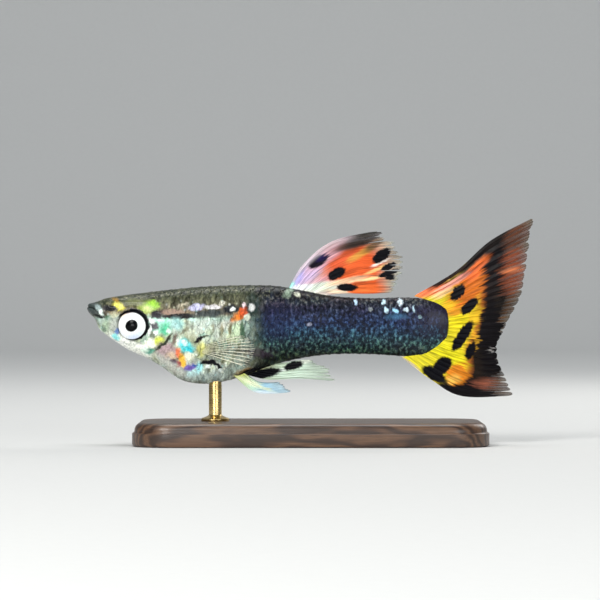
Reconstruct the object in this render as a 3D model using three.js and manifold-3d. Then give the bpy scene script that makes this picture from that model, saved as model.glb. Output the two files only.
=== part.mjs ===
// A life-size model of a male fancy guppy, swimming level, held over a flat base by one short rod.
// Millimetres, +Z up. The snout points to -X and the fish's left side faces -Y.
// The origin is the middle of the base's underside.
import * as THREE from "three";
import { mergeVertices } from "three/addons/utils/BufferGeometryUtils.js";
import Module from "manifold-3d";

const wasm = await Module();
wasm.setup();

// Driving sizes
const totalLength = 38; // snout to the tip of the tail fin's upper lobe
const bodyLength = 30.8; // snout to the rounded end of the tail stalk
const seam = 0.3; // gap between pieces that touch
const fineness = 0.008; // slivers smaller than this are smoothed away after a cut
const base = { length: 30, width: 14, height: 2, corner: 3, bevel: 0.4 };
const finClearance = 2; // lowest fin above the base
const finDrop = 6.15; // lowest fin below the fish's long axis
const snoutX = -totalLength / 2;
const axisHeight = base.height + finClearance + finDrop;

const headEnd = 7.9; // where the head joins the trunk, behind the snout
const trunkEnd = 20.8; // where the trunk joins the tail stalk

// The body in profile. Each row is a place behind the snout, with the height of the back and of
// the belly above the long axis, and half the width.
const profile = [
  { at: 0, back: 1.42, belly: 1.42, half: 0 },
  { at: 0.06, back: 1.7, belly: 1.16, half: 0.42 },
  { at: 0.25, back: 1.84, belly: 0.9, half: 0.7 },
  { at: 0.6, back: 1.96, belly: 0.5, half: 0.9 },
  { at: 1, back: 2.09, belly: -0.3, half: 1.06 },
  { at: 1.5, back: 2.28, belly: -0.76, half: 1.22 },
  { at: 2.2, back: 2.42, belly: -1.27, half: 1.42 },
  { at: 3.4, back: 2.61, belly: -2.05, half: 1.7 },
  { at: 5, back: 2.8, belly: -2.8, half: 1.94 },
  { at: 6.3, back: 2.94, belly: -3.55, half: 2.08 },
  { at: 7.9, back: 3.12, belly: -4.64, half: 2.2 },
  { at: 9.4, back: 3.26, belly: -5, half: 2.28 },
  { at: 11, back: 3.35, belly: -4.93, half: 2.26 },
  { at: 12.6, back: 3.4, belly: -4.57, half: 2.15 },
  { at: 14.3, back: 3.41, belly: -3.95, half: 1.98 },
  { at: 16, back: 3.36, belly: -3.36, half: 1.8 },
  { at: 18.5, back: 2.95, belly: -2.79, half: 1.53 },
  { at: 21, back: 2.48, belly: -2.5, half: 1.28 },
  { at: 24, back: 2.31, belly: -2.49, half: 1.07 },
  { at: 27, back: 2.37, belly: -2.66, half: 0.86 },
  { at: 28.6, back: 2.25, belly: -2.58, half: 0.72 },
  { at: 29.6, back: 2.02, belly: -2.05, half: 0.6 },
  { at: 30.3, back: 1.6, belly: -1.4, half: 0.5 },
  { at: 30.65, back: 1.12, belly: -0.9, half: 0.4 },
  { at: 30.8, back: 0.1, belly: 0.1, half: 0 },
];
const widestAt = 0.52; // height of the widest level, as a share of the section's height
const bodyRings = 52;
const bodySides = 28;

// Smooth value of one column of the profile: a cubic through the rows on either side.
function along(key, at) {
  const last = profile.length - 1;
  const here = THREE.MathUtils.clamp(at, 0, bodyLength);
  let i = 0;
  while (i < last - 1 && profile[i + 1].at < here) i++;
  const a = profile[i];
  const b = profile[i + 1];
  const slope = (j) => {
    const p = profile[Math.max(j - 1, 0)];
    const q = profile[Math.min(j + 1, last)];
    return (q[key] - p[key]) / (q.at - p.at);
  };
  const span = b.at - a.at;
  const t = (here - a.at) / span;
  const ease = t * t * (3 - 2 * t);
  const bend = slope(i) * t * (1 - t) * (1 - t) - slope(i + 1) * t * t * (1 - t);
  return a[key] + (b[key] - a[key]) * ease + bend * span;
}

// Squareness of a section: the head and nape are flat on top, and the belly narrows to a keel.
function powerOf(at, upper) {
  const flat = THREE.MathUtils.smoothstep(at, 3, 12);
  return upper ? THREE.MathUtils.lerp(2.7, 2.15, flat) : THREE.MathUtils.lerp(2.1, 1.85, flat);
}

// Half the body's width at a place behind the snout and a height above the long axis.
function halfWidthAt(at, up) {
  const back = along("back", at);
  const belly = along("belly", at);
  const level = THREE.MathUtils.lerp(belly, back, widestAt);
  const share = Math.abs(up - level) / (up > level ? back - level : level - belly);
  const power = powerOf(at, up > level);
  return along("half", at) * Math.pow(Math.max(0, 1 - Math.pow(share, power)), 1 / power);
}

// From a place behind the snout and a height above the long axis to the part's own frame.
function place(at, up, side = 0) {
  return new THREE.Vector3(snoutX + at, side, axisHeight + up);
}

// A closed solid from a list of points and triangles.
function solidFrom(points, faces) {
  const vertProperties = new Float32Array(points.length * 3);
  points.forEach((p, i) => p.toArray(vertProperties, i * 3));
  const triVerts = new Uint32Array(faces.flat());
  return new wasm.Manifold(new wasm.Mesh({ numProp: 3, vertProperties, triVerts }));
}

// A closed solid from one of the standard geometries.
function solidOf(geometry) {
  const bare = geometry.clone();
  bare.deleteAttribute("normal");
  bare.deleteAttribute("uv");
  const merged = mergeVertices(bare, 1e-4);
  const vertProperties = merged.attributes.position.array;
  const triVerts = new Uint32Array(merged.index.array);
  return new wasm.Manifold(new wasm.Mesh({ numProp: 3, vertProperties, triVerts }));
}

// The largest closed surface of a solid, so that no scrap of a cut is left.
function largest(solid) {
  return solid.decompose().reduce((a, b) => (b.volume() > a.volume() ? b : a));
}

function geometryOf(solid) {
  const mesh = largest(solid.simplify(fineness)).getMesh();
  const geometry = new THREE.BufferGeometry();
  geometry.setAttribute("position", new THREE.BufferAttribute(mesh.vertProperties, 3));
  geometry.setIndex(new THREE.BufferAttribute(mesh.triVerts, 1));
  geometry.computeVertexNormals();
  return geometry;
}

// The whole body as one lofted solid, grown or shrunk on every side by an offset that may vary along it.
function bodySolid(offsetAt = () => 0) {
  const points = [place(-offsetAt(0), along("back", 0))];
  for (let i = 1; i < bodyRings; i++) {
    const t = i / bodyRings;
    const at = bodyLength * (t - (0.9 * Math.sin(2 * Math.PI * t)) / (2 * Math.PI));
    const offset = offsetAt(at);
    const stretched = at + offset * (2 * t - 1);
    const back = along("back", at) + offset;
    const belly = along("belly", at) - offset;
    const level = THREE.MathUtils.lerp(belly, back, widestAt);
    const half = Math.max(along("half", at) + offset, 0.02);
    for (let j = 0; j < bodySides; j++) {
      const angle = (2 * Math.PI * j) / bodySides;
      const upper = Math.sin(angle) >= 0;
      const power = 2 / powerOf(at, upper);
      const across = Math.sign(Math.cos(angle)) * Math.pow(Math.abs(Math.cos(angle)), power);
      const rise = Math.pow(Math.abs(Math.sin(angle)), power);
      const up = upper ? level + (back - level) * rise : level - (level - belly) * rise;
      points.push(place(stretched, Math.max(Math.min(up, back), belly), half * across));
    }
  }
  points.push(place(bodyLength + offsetAt(bodyLength), along("back", bodyLength)));
  const faces = [];
  const ring = (i, j) => 1 + i * bodySides + (j % bodySides);
  for (let j = 0; j < bodySides; j++) {
    faces.push([0, ring(0, j + 1), ring(0, j)]);
    faces.push([points.length - 1, ring(bodyRings - 2, j), ring(bodyRings - 2, j + 1)]);
    for (let i = 0; i < bodyRings - 2; i++) {
      faces.push([ring(i, j), ring(i + 1, j + 1), ring(i + 1, j)]);
      faces.push([ring(i, j), ring(i, j + 1), ring(i + 1, j + 1)]);
    }
  }
  return solidFrom(points, faces);
}

// A side-view outline, in places behind the snout and heights, pushed through from one side to the other.
function sidePrism(outline, from = -6, to = 6) {
  const shape = new THREE.Shape(outline.map(([at, up]) => new THREE.Vector2(snoutX + at, axisHeight + up)));
  const geometry = new THREE.ExtrudeGeometry(shape, { depth: to - from, bevelEnabled: false });
  geometry.rotateX(Math.PI / 2);
  geometry.translate(0, to, 0);
  return solidOf(geometry);
}

// The stretch of the body between two places behind the snout.
function stretch(from, to) {
  return sidePrism([
    [from, -8],
    [to, -8],
    [to, 8],
    [from, 8],
  ]);
}

const body = bodySolid();
const bodyClearance = bodySolid(() => seam); // nothing outside the body comes nearer than this

// Gill covers: a thin plate over each cheek, flush with it in front and proud of the shoulder behind
const cover = {
  outline: [
    [5.75, 0.95],
    [7.1, 0.85],
    [8.15, -0.1],
    [8.55, -1.35],
    [8.2, -2.5],
    [7.2, -3.05],
    [6.2, -2.5],
    [5.6, -1.0],
  ],
  proud: 0.2,
  sunk: 0.4,
};
const coverSteps = 22;

// The cover's smooth outline, grown about its middle by a margin.
function coverOutline(margin) {
  const points = cover.outline.map(([at, up]) => new THREE.Vector3(at, up, 0));
  const middle = points.reduce((sum, p) => sum.add(p), new THREE.Vector3()).divideScalar(points.length);
  const curve = new THREE.CatmullRomCurve3(points, true);
  return curve.getPoints(coverSteps).slice(0, -1).map((p) => {
    const arm = p.clone().sub(middle);
    arm.setLength(arm.length() + margin);
    return [middle.x + arm.x, middle.y + arm.y];
  });
}

function gillCover(side) {
  const outer = bodySolid((at) => cover.proud * THREE.MathUtils.smoothstep(at, 5.6, 8.2));
  const plate = outer.subtract(bodySolid(() => -cover.sunk));
  const from = side < 0 ? -6 : 0.6;
  return plate.intersect(sidePrism(coverOutline(0), from, from + 5.4));
}

function gillRecess() {
  return sidePrism(coverOutline(seam)).subtract(bodySolid(() => -cover.sunk - seam));
}

// Eyes: a flattened ball with a flat iris and a domed pupil, set in a round socket
const eye = { at: 3.83, up: -0.02, radius: 1.3, depth: 0.85, pupil: 0.52, out: 0.42 };
eye.side = halfWidthAt(eye.at, eye.up) + eye.out - eye.depth;

function eyeBall(side) {
  const profilePoints = [];
  const steps = 8;
  const irisDepth = 0.62; // how far out the flat of the iris lies, as a share of the depth
  for (let i = 0; i <= steps; i++) {
    const angle = -Math.PI / 2 + ((Math.PI / 2 + Math.asin(irisDepth)) * i) / steps;
    profilePoints.push(new THREE.Vector2(eye.radius * Math.cos(angle), eye.depth * Math.sin(angle)));
  }
  profilePoints[0].x = 0;
  profilePoints.push(new THREE.Vector2(eye.pupil * 1.5, eye.depth * 0.8));
  profilePoints.push(new THREE.Vector2(eye.pupil, eye.depth * 0.84));
  profilePoints.push(new THREE.Vector2(eye.pupil * 0.6, eye.depth * 0.96));
  profilePoints.push(new THREE.Vector2(0, eye.depth));
  const geometry = new THREE.LatheGeometry(profilePoints, 20);
  if (side < 0) geometry.rotateX(Math.PI);
  const centre = place(eye.at, eye.up, side * eye.side);
  geometry.translate(centre.x, centre.y, centre.z);
  return solidOf(geometry);
}

function eyeSocket(side) {
  const geometry = new THREE.SphereGeometry(1, 20, 12);
  geometry.scale(eye.radius + seam, eye.depth + seam, eye.radius + seam);
  const centre = place(eye.at, eye.up, side * eye.side);
  geometry.translate(centre.x, centre.y, centre.z);
  return solidOf(geometry);
}

// The raised rim of skin round the socket
function eyeRim(side) {
  const geometry = new THREE.TorusGeometry(eye.radius + 0.3, 0.24, 6, 22);
  geometry.rotateX(Math.PI / 2);
  const lean = 0.14; // the face narrows towards the snout
  geometry.rotateZ(-side * lean);
  const centre = place(eye.at, eye.up, side * (halfWidthAt(eye.at, eye.up) - 0.2));
  geometry.translate(centre.x, centre.y, centre.z);
  return solidOf(geometry);
}

// The mouth opens upwards: its cleft slants back from the snout's tip to the corner, and the jaw
// hinges along a line from the corner to the chin
const mouth = {
  tip: [-0.6, 1.9],
  corner: [1.45, 0.92],
  chin: [2.2, -1.9],
  lip: 0.17,
};

function jawRegion(margin) {
  const [cornerAt, cornerUp] = mouth.corner;
  return sidePrism([
    [mouth.tip[0], mouth.tip[1] + margin],
    [cornerAt + margin, cornerUp + margin],
    [mouth.chin[0] + margin, mouth.chin[1]],
    [mouth.tip[0], mouth.chin[1]],
  ]);
}

// A rolled lip that runs round the snout from one corner of the mouth to the other
function lip(rise) {
  const steps = 14;
  const points = [];
  for (let i = 0; i <= steps; i++) {
    const angle = Math.PI * (i / steps - 0.5);
    const share = 1 - Math.cos(angle); // none at the tip, one at the corners
    const at = THREE.MathUtils.lerp(0.27, mouth.corner[0] - 0.15, share);
    const slope = (mouth.corner[1] - mouth.tip[1]) / (mouth.corner[0] - mouth.tip[0]);
    const up = mouth.tip[1] + slope * (at - mouth.tip[0]) + rise;
    points.push(place(at, up, (halfWidthAt(at, up) - 0.06) * Math.sign(angle) * Math.sqrt(Math.abs(Math.sin(angle)))));
  }
  const section = new THREE.Shape();
  section.absellipse(0, 0, mouth.lip, mouth.lip, 0, 2 * Math.PI);
  const path = new THREE.CatmullRomCurve3(points);
  return solidOf(new THREE.ExtrudeGeometry(section, { steps: 14, curveSegments: 6, extrudePath: path }));
}

const nostril = { at: 2.15, up: 1.72, radius: 0.24 };

function nostrilPit(side) {
  const geometry = new THREE.SphereGeometry(nostril.radius, 8, 6);
  const centre = place(nostril.at, nostril.up, side * halfWidthAt(nostril.at, nostril.up));
  geometry.translate(centre.x, centre.y, centre.z);
  return solidOf(geometry);
}

function head() {
  let solid = body.intersect(stretch(-1, headEnd - seam / 2)).subtract(jawRegion(seam / 2));
  solid = solid.add(lip(seam / 2 + mouth.lip).subtract(jawRegion(seam / 2)));
  for (const side of [-1, 1]) {
    solid = solid.add(eyeRim(side).intersect(stretch(0, headEnd - 1.6)));
  }
  for (const side of [-1, 1]) {
    solid = solid.subtract(eyeSocket(side)).subtract(nostrilPit(side));
  }
  return solid.subtract(gillRecess());
}

function lowerJaw() {
  const jaw = body.add(lip(-seam / 2 - mouth.lip));
  return jaw.intersect(jawRegion(-seam / 2));
}

function trunk() {
  return body.intersect(stretch(headEnd + seam / 2, trunkEnd - seam / 2)).subtract(gillRecess());
}

function tailStalk() {
  return body.intersect(stretch(trunkEnd + seam / 2, bodyLength + 1));
}

// A point on the cubic through four numbers, between the middle two.
function cubic(a, b, c, d, t) {
  const slopeB = (c - a) / 2;
  const slopeC = (d - b) / 2;
  const ease = t * t * (3 - 2 * t);
  return b + (c - b) * ease + slopeB * t * (1 - t) * (1 - t) - slopeC * t * t * (1 - t);
}

// A smooth point of a row of points, from 0 at its first to 1 at its last.
function rowPoint(row, share) {
  const last = row.length - 1;
  const i = Math.min(Math.floor(share * last), last - 1);
  const t = share * last - i;
  const before = i > 0 ? row[i - 1] : row[0].map((v, k) => 2 * v - row[1][k]);
  const after = i + 2 <= last ? row[i + 2] : row[last].map((v, k) => 2 * v - row[last - 1][k]);
  return row[i].map((v, k) => cubic(before[k], v, row[i + 1][k], after[k], t));
}

// A fin of thin membrane with a ridge along each ray, the same on both faces. Its guides are rays from
// root to tip, as places behind the snout and heights. The rays stand out past the membrane at the edge.
function finSolid(fin) {
  const columns = 2 * fin.rays - 1;
  const points = [[], []];
  for (let c = 0; c < columns; c++) {
    const across = c / (columns - 1);
    const onRay = c % 2 === 0;
    const reach = onRay ? 1 - 0.02 * (c % 4) : 1 - fin.notch;
    for (let r = 0; r <= fin.steps; r++) {
      const out = (reach * r) / fin.steps;
      const guide = fin.guides.map((row) => rowPoint(row, out));
      const [at, up] = rowPoint(guide, across);
      const thick = THREE.MathUtils.lerp(fin.root, fin.edge, out ** 2) + (onRay ? fin.ridge : 0);
      const middle = fin.sway ? fin.sway(out, across) : 0;
      points[0].push(place(at, up, middle - thick / 2));
      points[1].push(place(at, up, middle + thick / 2));
    }
  }
  const perSide = points[0].length;
  const rows = fin.steps + 1;
  const near = (c, r) => c * rows + r;
  const far = (c, r) => perSide + c * rows + r;
  const faces = [];
  const quad = (a, b, c, d) => faces.push([a, b, c], [a, c, d]);
  for (let c = 0; c < columns - 1; c++) {
    for (let r = 0; r < fin.steps; r++) {
      quad(near(c, r), near(c, r + 1), near(c + 1, r + 1), near(c + 1, r));
      faces.push([far(c, r), far(c + 1, r + 1), far(c, r + 1)], [far(c, r), far(c + 1, r), far(c + 1, r + 1)]);
    }
    quad(near(c, 0), near(c + 1, 0), far(c + 1, 0), far(c, 0));
    quad(near(c + 1, fin.steps), near(c, fin.steps), far(c, fin.steps), far(c + 1, fin.steps));
  }
  for (let r = 0; r < fin.steps; r++) {
    quad(near(0, r + 1), near(0, r), far(0, r), far(0, r + 1));
    quad(near(columns - 1, r), near(columns - 1, r + 1), far(columns - 1, r + 1), far(columns - 1, r));
  }
  const solid = solidFrom([...points[0], ...points[1]], faces);
  return solid.volume() > 0 ? solid : solidFrom([...points[0], ...points[1]], faces.map(([a, b, c]) => [a, c, b]));
}

// Turns a solid about a root point: first a roll about the fish's length, then a swing about the vertical.
function splay(solid, root, roll, swing) {
  const turn = new THREE.Matrix4().makeRotationFromEuler(new THREE.Euler(roll, 0, swing, "ZXY"));
  const matrix = new THREE.Matrix4().makeTranslation(root.x, root.y, root.z).multiply(turn);
  matrix.multiply(new THREE.Matrix4().makeTranslation(-root.x, 0, -root.z));
  return solid.transform(matrix.elements);
}

const tailFin = {
  guides: [
    [[26.7, -2.72], [29.3, -4.68], [31.9, -6.04], [36.0, -5.95]],
    [[28.6, -2.38], [31.0, -3.49], [33.4, -4.25], [35.6, -4.42]],
    [[29.7, -1.53], [31.5, -2.13], [33.2, -2.38], [34.9, -2.3]],
    [[30.3, -0.34], [32.0, -0.43], [33.8, -0.43], [35.5, -0.43]],
    [[30.3, 0.85], [32.4, 1.36], [34.6, 1.87], [36.9, 2.38]],
    [[29.5, 1.87], [32.0, 2.98], [34.7, 4.34], [37.4, 5.36]],
    [[27.8, 2.47], [31.4, 4.63], [34.3, 7.18], [38.0, 9.18]],
  ],
  rays: 19,
  steps: 11,
  root: 0.62,
  edge: 0.42,
  ridge: 0.16,
  notch: 0.045,
  sway: (out, across) => out * out * (0.75 * Math.sin(1.9 * Math.PI * across - 0.5) + 0.35 * across),
};

const dorsalFin = {
  guides: [
    [[17.0, 2.9], [18.4, 5.19], [20.9, 7.14], [25.1, 8.12]],
    [[17.6, 2.8], [19.6, 4.85], [22.4, 6.29], [26.6, 6.89]],
    [[18.4, 2.7], [20.5, 4.25], [23.2, 5.36], [27.2, 5.61]],
    [[19.1, 2.6], [21.2, 3.49], [23.6, 4.08], [26.8, 4.17]],
    [[20.0, 2.5], [21.8, 2.68], [23.9, 2.66], [26.1, 2.76]],
  ],
  rays: 11,
  steps: 10,
  root: 0.62,
  edge: 0.42,
  ridge: 0.16,
  notch: 0.06,
  sway: (out, across) => 0.3 * out * out * Math.sin(1.7 * Math.PI * across),
};

const analFin = {
  guides: [
    [[13.1, -4.1], [15.4, -4.63], [18.1, -4.55], [21.3, -4.8]],
    [[14.0, -3.7], [16.4, -3.95], [18.7, -3.75], [20.7, -3.74]],
    [[15.2, -3.1], [16.6, -3.2], [17.8, -3.0], [19.0, -2.92]],
  ],
  rays: 7,
  steps: 10,
  root: 0.6,
  edge: 0.42,
  ridge: 0.14,
  notch: 0.08,
};

const pelvicFin = {
  guides: [
    [[12.5, -4.3], [14.1, -5.6], [15.7, -5.82], [17.75, -5.65]],
    [[12.9, -4.3], [14.3, -5.25], [15.6, -5.44], [17.0, -5.35]],
    [[13.4, -4.1], [14.5, -4.8], [15.5, -4.93], [16.5, -4.85]],
  ],
  rays: 5,
  steps: 8,
  root: 0.56,
  edge: 0.36,
  ridge: 0.12,
  notch: 0.05,
  side: 0.85,
  roll: 0.2,
  swing: 0.1,
};

const pectoralFin = {
  guides: [
    [[9.9, -1.7], [11.1, -1.36], [12.2, -1.02], [13.5, -0.77]],
    [[9.9, -1.91], [11.4, -1.79], [12.8, -1.62], [14.4, -1.53]],
    [[9.9, -2.13], [11.5, -2.25], [12.8, -2.38], [14.4, -2.55]],
    [[9.9, -2.35], [11.2, -2.81], [12.4, -3.23], [13.7, -3.66]],
  ],
  rays: 9,
  steps: 7,
  root: 0.56,
  edge: 0.4,
  ridge: 0.12,
  notch: 0.05,
  swing: 0.34,
};

function pelvic(side) {
  const root = place(pelvicFin.guides[1][0][0], pelvicFin.guides[1][0][1], side * pelvicFin.side);
  return splay(finSolid(pelvicFin), root, side * pelvicFin.roll, side * pelvicFin.swing).subtract(bodyClearance);
}

function pectoral(side) {
  const [at, up] = pectoralFin.guides[1][0];
  const root = place(at, up, side * (halfWidthAt(at, up) - 0.1));
  return splay(finSolid(pectoralFin), root, 0, side * pectoralFin.swing).subtract(bodyClearance);
}

// The stand: a flat base with rounded corners, and a rod with a collar that reaches up to the belly
const rod = { at: 10.9, radius: 0.55, collar: 1.2, collarHeight: 0.5 };

function standBase() {
  const shape = new THREE.Shape();
  const reach = base.length / 2 - base.bevel - base.corner;
  const span = base.width / 2 - base.bevel - base.corner;
  shape.absarc(reach, span, base.corner, 0, Math.PI / 2);
  shape.absarc(-reach, span, base.corner, Math.PI / 2, Math.PI);
  shape.absarc(-reach, -span, base.corner, Math.PI, 1.5 * Math.PI);
  shape.absarc(reach, -span, base.corner, 1.5 * Math.PI, 2 * Math.PI);
  const options = { depth: base.height, bevelThickness: base.bevel, bevelSize: base.bevel };
  const block = new THREE.ExtrudeGeometry(shape, { ...options, bevelSegments: 2, curveSegments: 6 });
  block.translate(0, 0, -base.bevel);
  const slab = new THREE.BoxGeometry(60, 60, base.height);
  slab.translate(0, 0, base.height / 2);
  return solidOf(block).intersect(solidOf(slab));
}

function standRod() {
  const top = axisHeight + along("belly", rod.at) + 1;
  const outline = [
    [0, base.height],
    [rod.collar, base.height],
    [rod.collar, base.height + rod.collarHeight * 0.6],
    [rod.radius, base.height + rod.collarHeight],
    [rod.radius, top],
    [0, top],
  ];
  const geometry = new THREE.LatheGeometry(outline.map(([r, z]) => new THREE.Vector2(r, z)), 24);
  geometry.rotateX(Math.PI / 2);
  geometry.translate(snoutX + rod.at, 0, 0);
  return solidOf(geometry).subtract(bodyClearance);
}

function material(color, roughness, metalness = 0) {
  return new THREE.MeshStandardMaterial({ color, roughness, metalness });
}

const skin = material(0x3a4450, 0.4);
const silver = material(0xb8bfb4, 0.3, 0.3);
const irisWhite = material(0xf0f0ee, 0.2);
const orangeFin = material(0xc8552a, 0.5);
const yellowFin = material(0xb8a022, 0.5);
const clearFin = material(0xaeb8a8, 0.5);
const walnut = material(0x3b2618, 0.5);
const brass = material(0xa88a4a, 0.3, 1);

const guppy = new THREE.Group();

function add(name, solid, finish) {
  const mesh = new THREE.Mesh(geometryOf(solid), finish);
  mesh.name = name;
  guppy.add(mesh);
}

add("head", head(), silver);
add("lower_jaw", lowerJaw(), skin);
add("trunk", trunk(), silver);
add("tail_stalk", tailStalk(), skin);
add("tail_fin", finSolid(tailFin).subtract(bodyClearance), yellowFin);
add("dorsal_fin", finSolid(dorsalFin).subtract(bodyClearance), orangeFin);
add("anal_fin", finSolid(analFin).subtract(bodyClearance), clearFin);
for (const [label, side] of [["left", -1], ["right", 1]]) {
  add(`eye_${label}`, eyeBall(side), irisWhite);
  add(`gill_cover_${label}`, gillCover(side), silver);
  add(`pelvic_fin_${label}`, pelvic(side), clearFin);
  add(`pectoral_fin_${label}`, pectoral(side), clearFin);
}
add("stand_base", standBase(), walnut);
add("stand_rod", standRod(), brass);

export default guppy;
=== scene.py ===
# A life-size male fancy guppy on its display stand: skin, scales, eyes, fins, stand, light and camera.
# The fish's own places are in millimetres: at is the distance behind the snout, side the distance to
# its right, up the height above its long axis. toFrame turns them into the model's metres.
import math
import bmesh
import bpy
import numpy as np
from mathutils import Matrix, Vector


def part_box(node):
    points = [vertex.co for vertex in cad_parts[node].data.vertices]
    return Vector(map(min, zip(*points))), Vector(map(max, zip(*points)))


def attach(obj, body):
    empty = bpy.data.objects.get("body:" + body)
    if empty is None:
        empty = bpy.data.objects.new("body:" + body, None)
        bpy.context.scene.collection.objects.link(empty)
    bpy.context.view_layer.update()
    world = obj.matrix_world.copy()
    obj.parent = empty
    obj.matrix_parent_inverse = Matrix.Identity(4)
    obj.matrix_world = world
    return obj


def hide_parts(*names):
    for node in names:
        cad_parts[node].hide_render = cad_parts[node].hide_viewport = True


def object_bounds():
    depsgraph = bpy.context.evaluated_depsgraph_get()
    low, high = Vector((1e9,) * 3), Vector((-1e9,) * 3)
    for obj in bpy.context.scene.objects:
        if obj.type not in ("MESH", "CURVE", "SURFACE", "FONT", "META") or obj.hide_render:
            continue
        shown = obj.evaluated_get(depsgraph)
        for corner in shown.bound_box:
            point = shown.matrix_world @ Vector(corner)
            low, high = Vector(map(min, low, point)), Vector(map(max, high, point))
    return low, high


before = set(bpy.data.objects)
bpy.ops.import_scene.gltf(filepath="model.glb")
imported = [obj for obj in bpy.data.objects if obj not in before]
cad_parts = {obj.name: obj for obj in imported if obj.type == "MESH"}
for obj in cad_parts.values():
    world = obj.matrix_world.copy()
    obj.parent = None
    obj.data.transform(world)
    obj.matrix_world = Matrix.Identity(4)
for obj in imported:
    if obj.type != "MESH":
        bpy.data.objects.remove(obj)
cadLow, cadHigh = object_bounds()

fish = {
    "snoutX": cadLow.x * 1000,  # the snout is the model's foremost point
    "axisHeight": 10.15,
    "length": 30.8,  # snout to the end of the tail stalk
    "seed": 27,
}
draw = np.random.default_rng(fish["seed"])


def toFrame(places):
    return (places + [fish["snoutX"], 0, fish["axisHeight"]]) * 0.001


def smooth(low, high, value):
    t = np.clip((value - low) / (high - low), 0, 1)
    return t * t * (3 - 2 * t)


def bump(distance, width):
    return np.exp(-((distance / width) ** 2))


# A value on the way from start to end, with its slope at both
def eased(start, end, startSlope, endSlope, t):
    share = t * t * (3 - 2 * t)
    return start + (end - start) * share + startSlope * t * (1 - t) ** 2 - endSlope * t * t * (1 - t)


# The same on the way from b to c, with slopes from their neighbours a and d
def between(a, b, c, d, t):
    return eased(b, c, (c - a) / 2, (d - b) / 2, t)


# Body shape: place behind the snout, height of the back, height of the belly, half the width
bodyShape = {
    "rows": np.array([
        (0, 1.42, 1.42, 0), (0.06, 1.7, 1.16, 0.42), (0.25, 1.84, 0.9, 0.7), (0.6, 1.96, 0.5, 0.9),
        (1, 2.09, -0.3, 1.06), (1.5, 2.28, -0.76, 1.22), (2.2, 2.42, -1.27, 1.42), (3.4, 2.61, -2.05, 1.7),
        (5, 2.8, -2.8, 1.94), (6.3, 2.94, -3.55, 2.08), (7.9, 3.12, -4.64, 2.2), (9.4, 3.26, -5, 2.28),
        (11, 3.35, -4.93, 2.26), (12.6, 3.4, -4.57, 2.15), (14.3, 3.41, -3.95, 1.98), (16, 3.36, -3.36, 1.8),
        (18.5, 2.95, -2.79, 1.53), (21, 2.48, -2.5, 1.28), (24, 2.31, -2.49, 1.07), (27, 2.37, -2.66, 0.86),
        (28.6, 2.25, -2.58, 0.72), (29.6, 2.02, -2.05, 0.6), (30.3, 1.6, -1.4, 0.5), (30.65, 1.12, -0.9, 0.4),
        (30.8, 0.1, 0.1, 0),
    ]),
    "widestAt": 0.52,  # share of the height
    "squareBack": (2.7, 2.15),  # how square the section is before and after squareRange
    "squareBelly": (2.1, 1.85),
    "squareRange": (3, 12),
    "skinUnder": 0.03,  # how far the skin lies inside this shape, to leave room for the scales
    "gridRings": 620, "gridSides": 720, "girthSteps": 1600,
    "endCrowding": 0.78,  # how much closer the rings lie at the snout and the tail's end
}


def along(column, at):
    rows = bodyShape["rows"]
    places, values = rows[:, 0], rows[:, column]
    last = len(rows) - 1
    before, after = np.maximum(np.arange(last + 1) - 1, 0), np.minimum(np.arange(last + 1) + 1, last)
    slopes = (values[after] - values[before]) / (places[after] - places[before])
    here = np.clip(at, 0, places[-1])
    i = np.clip(np.searchsorted(places, here) - 1, 0, last - 1)
    span = places[i + 1] - places[i]
    t = (here - places[i]) / span
    return eased(values[i], values[i + 1], slopes[i] * span, slopes[i + 1] * span, t)


def heightFromBack(at, up):
    return along(1, at) - up


def squareness(at, upper):
    t = smooth(*bodyShape["squareRange"], at)
    back, belly = (a + (b - a) * t for a, b in (bodyShape["squareBack"], bodyShape["squareBelly"]))
    return np.where(upper, back, belly)


def sectionPoint(at, angle):
    back, belly, half = along(1, at), along(2, at), along(3, at)
    level = belly + (back - belly) * bodyShape["widestAt"]
    upper = np.sin(angle) >= 0
    power = 2 / squareness(at, upper)
    across = np.sign(np.cos(angle)) * np.abs(np.cos(angle)) ** power
    rise = np.abs(np.sin(angle)) ** power
    up = np.where(upper, level + (back - level) * rise, level - (level - belly) * rise)
    return np.stack([at, half * across, up], -1)


def halfWidthAt(at, up):
    at, up = np.asarray(at, float), np.asarray(up, float)
    back, belly = along(1, at), along(2, at)
    level = belly + (back - belly) * bodyShape["widestAt"]
    share = np.abs(up - level) / np.where(up > level, back - level, level - belly)
    power = squareness(at, up > level)
    return along(3, at) * np.maximum(0, 1 - np.minimum(share, 1) ** power) ** (1 / power)


def ringPlace(share):
    crowd = bodyShape["endCrowding"]
    return fish["length"] * (share - crowd * np.sin(2 * np.pi * share) / (2 * np.pi))


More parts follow.
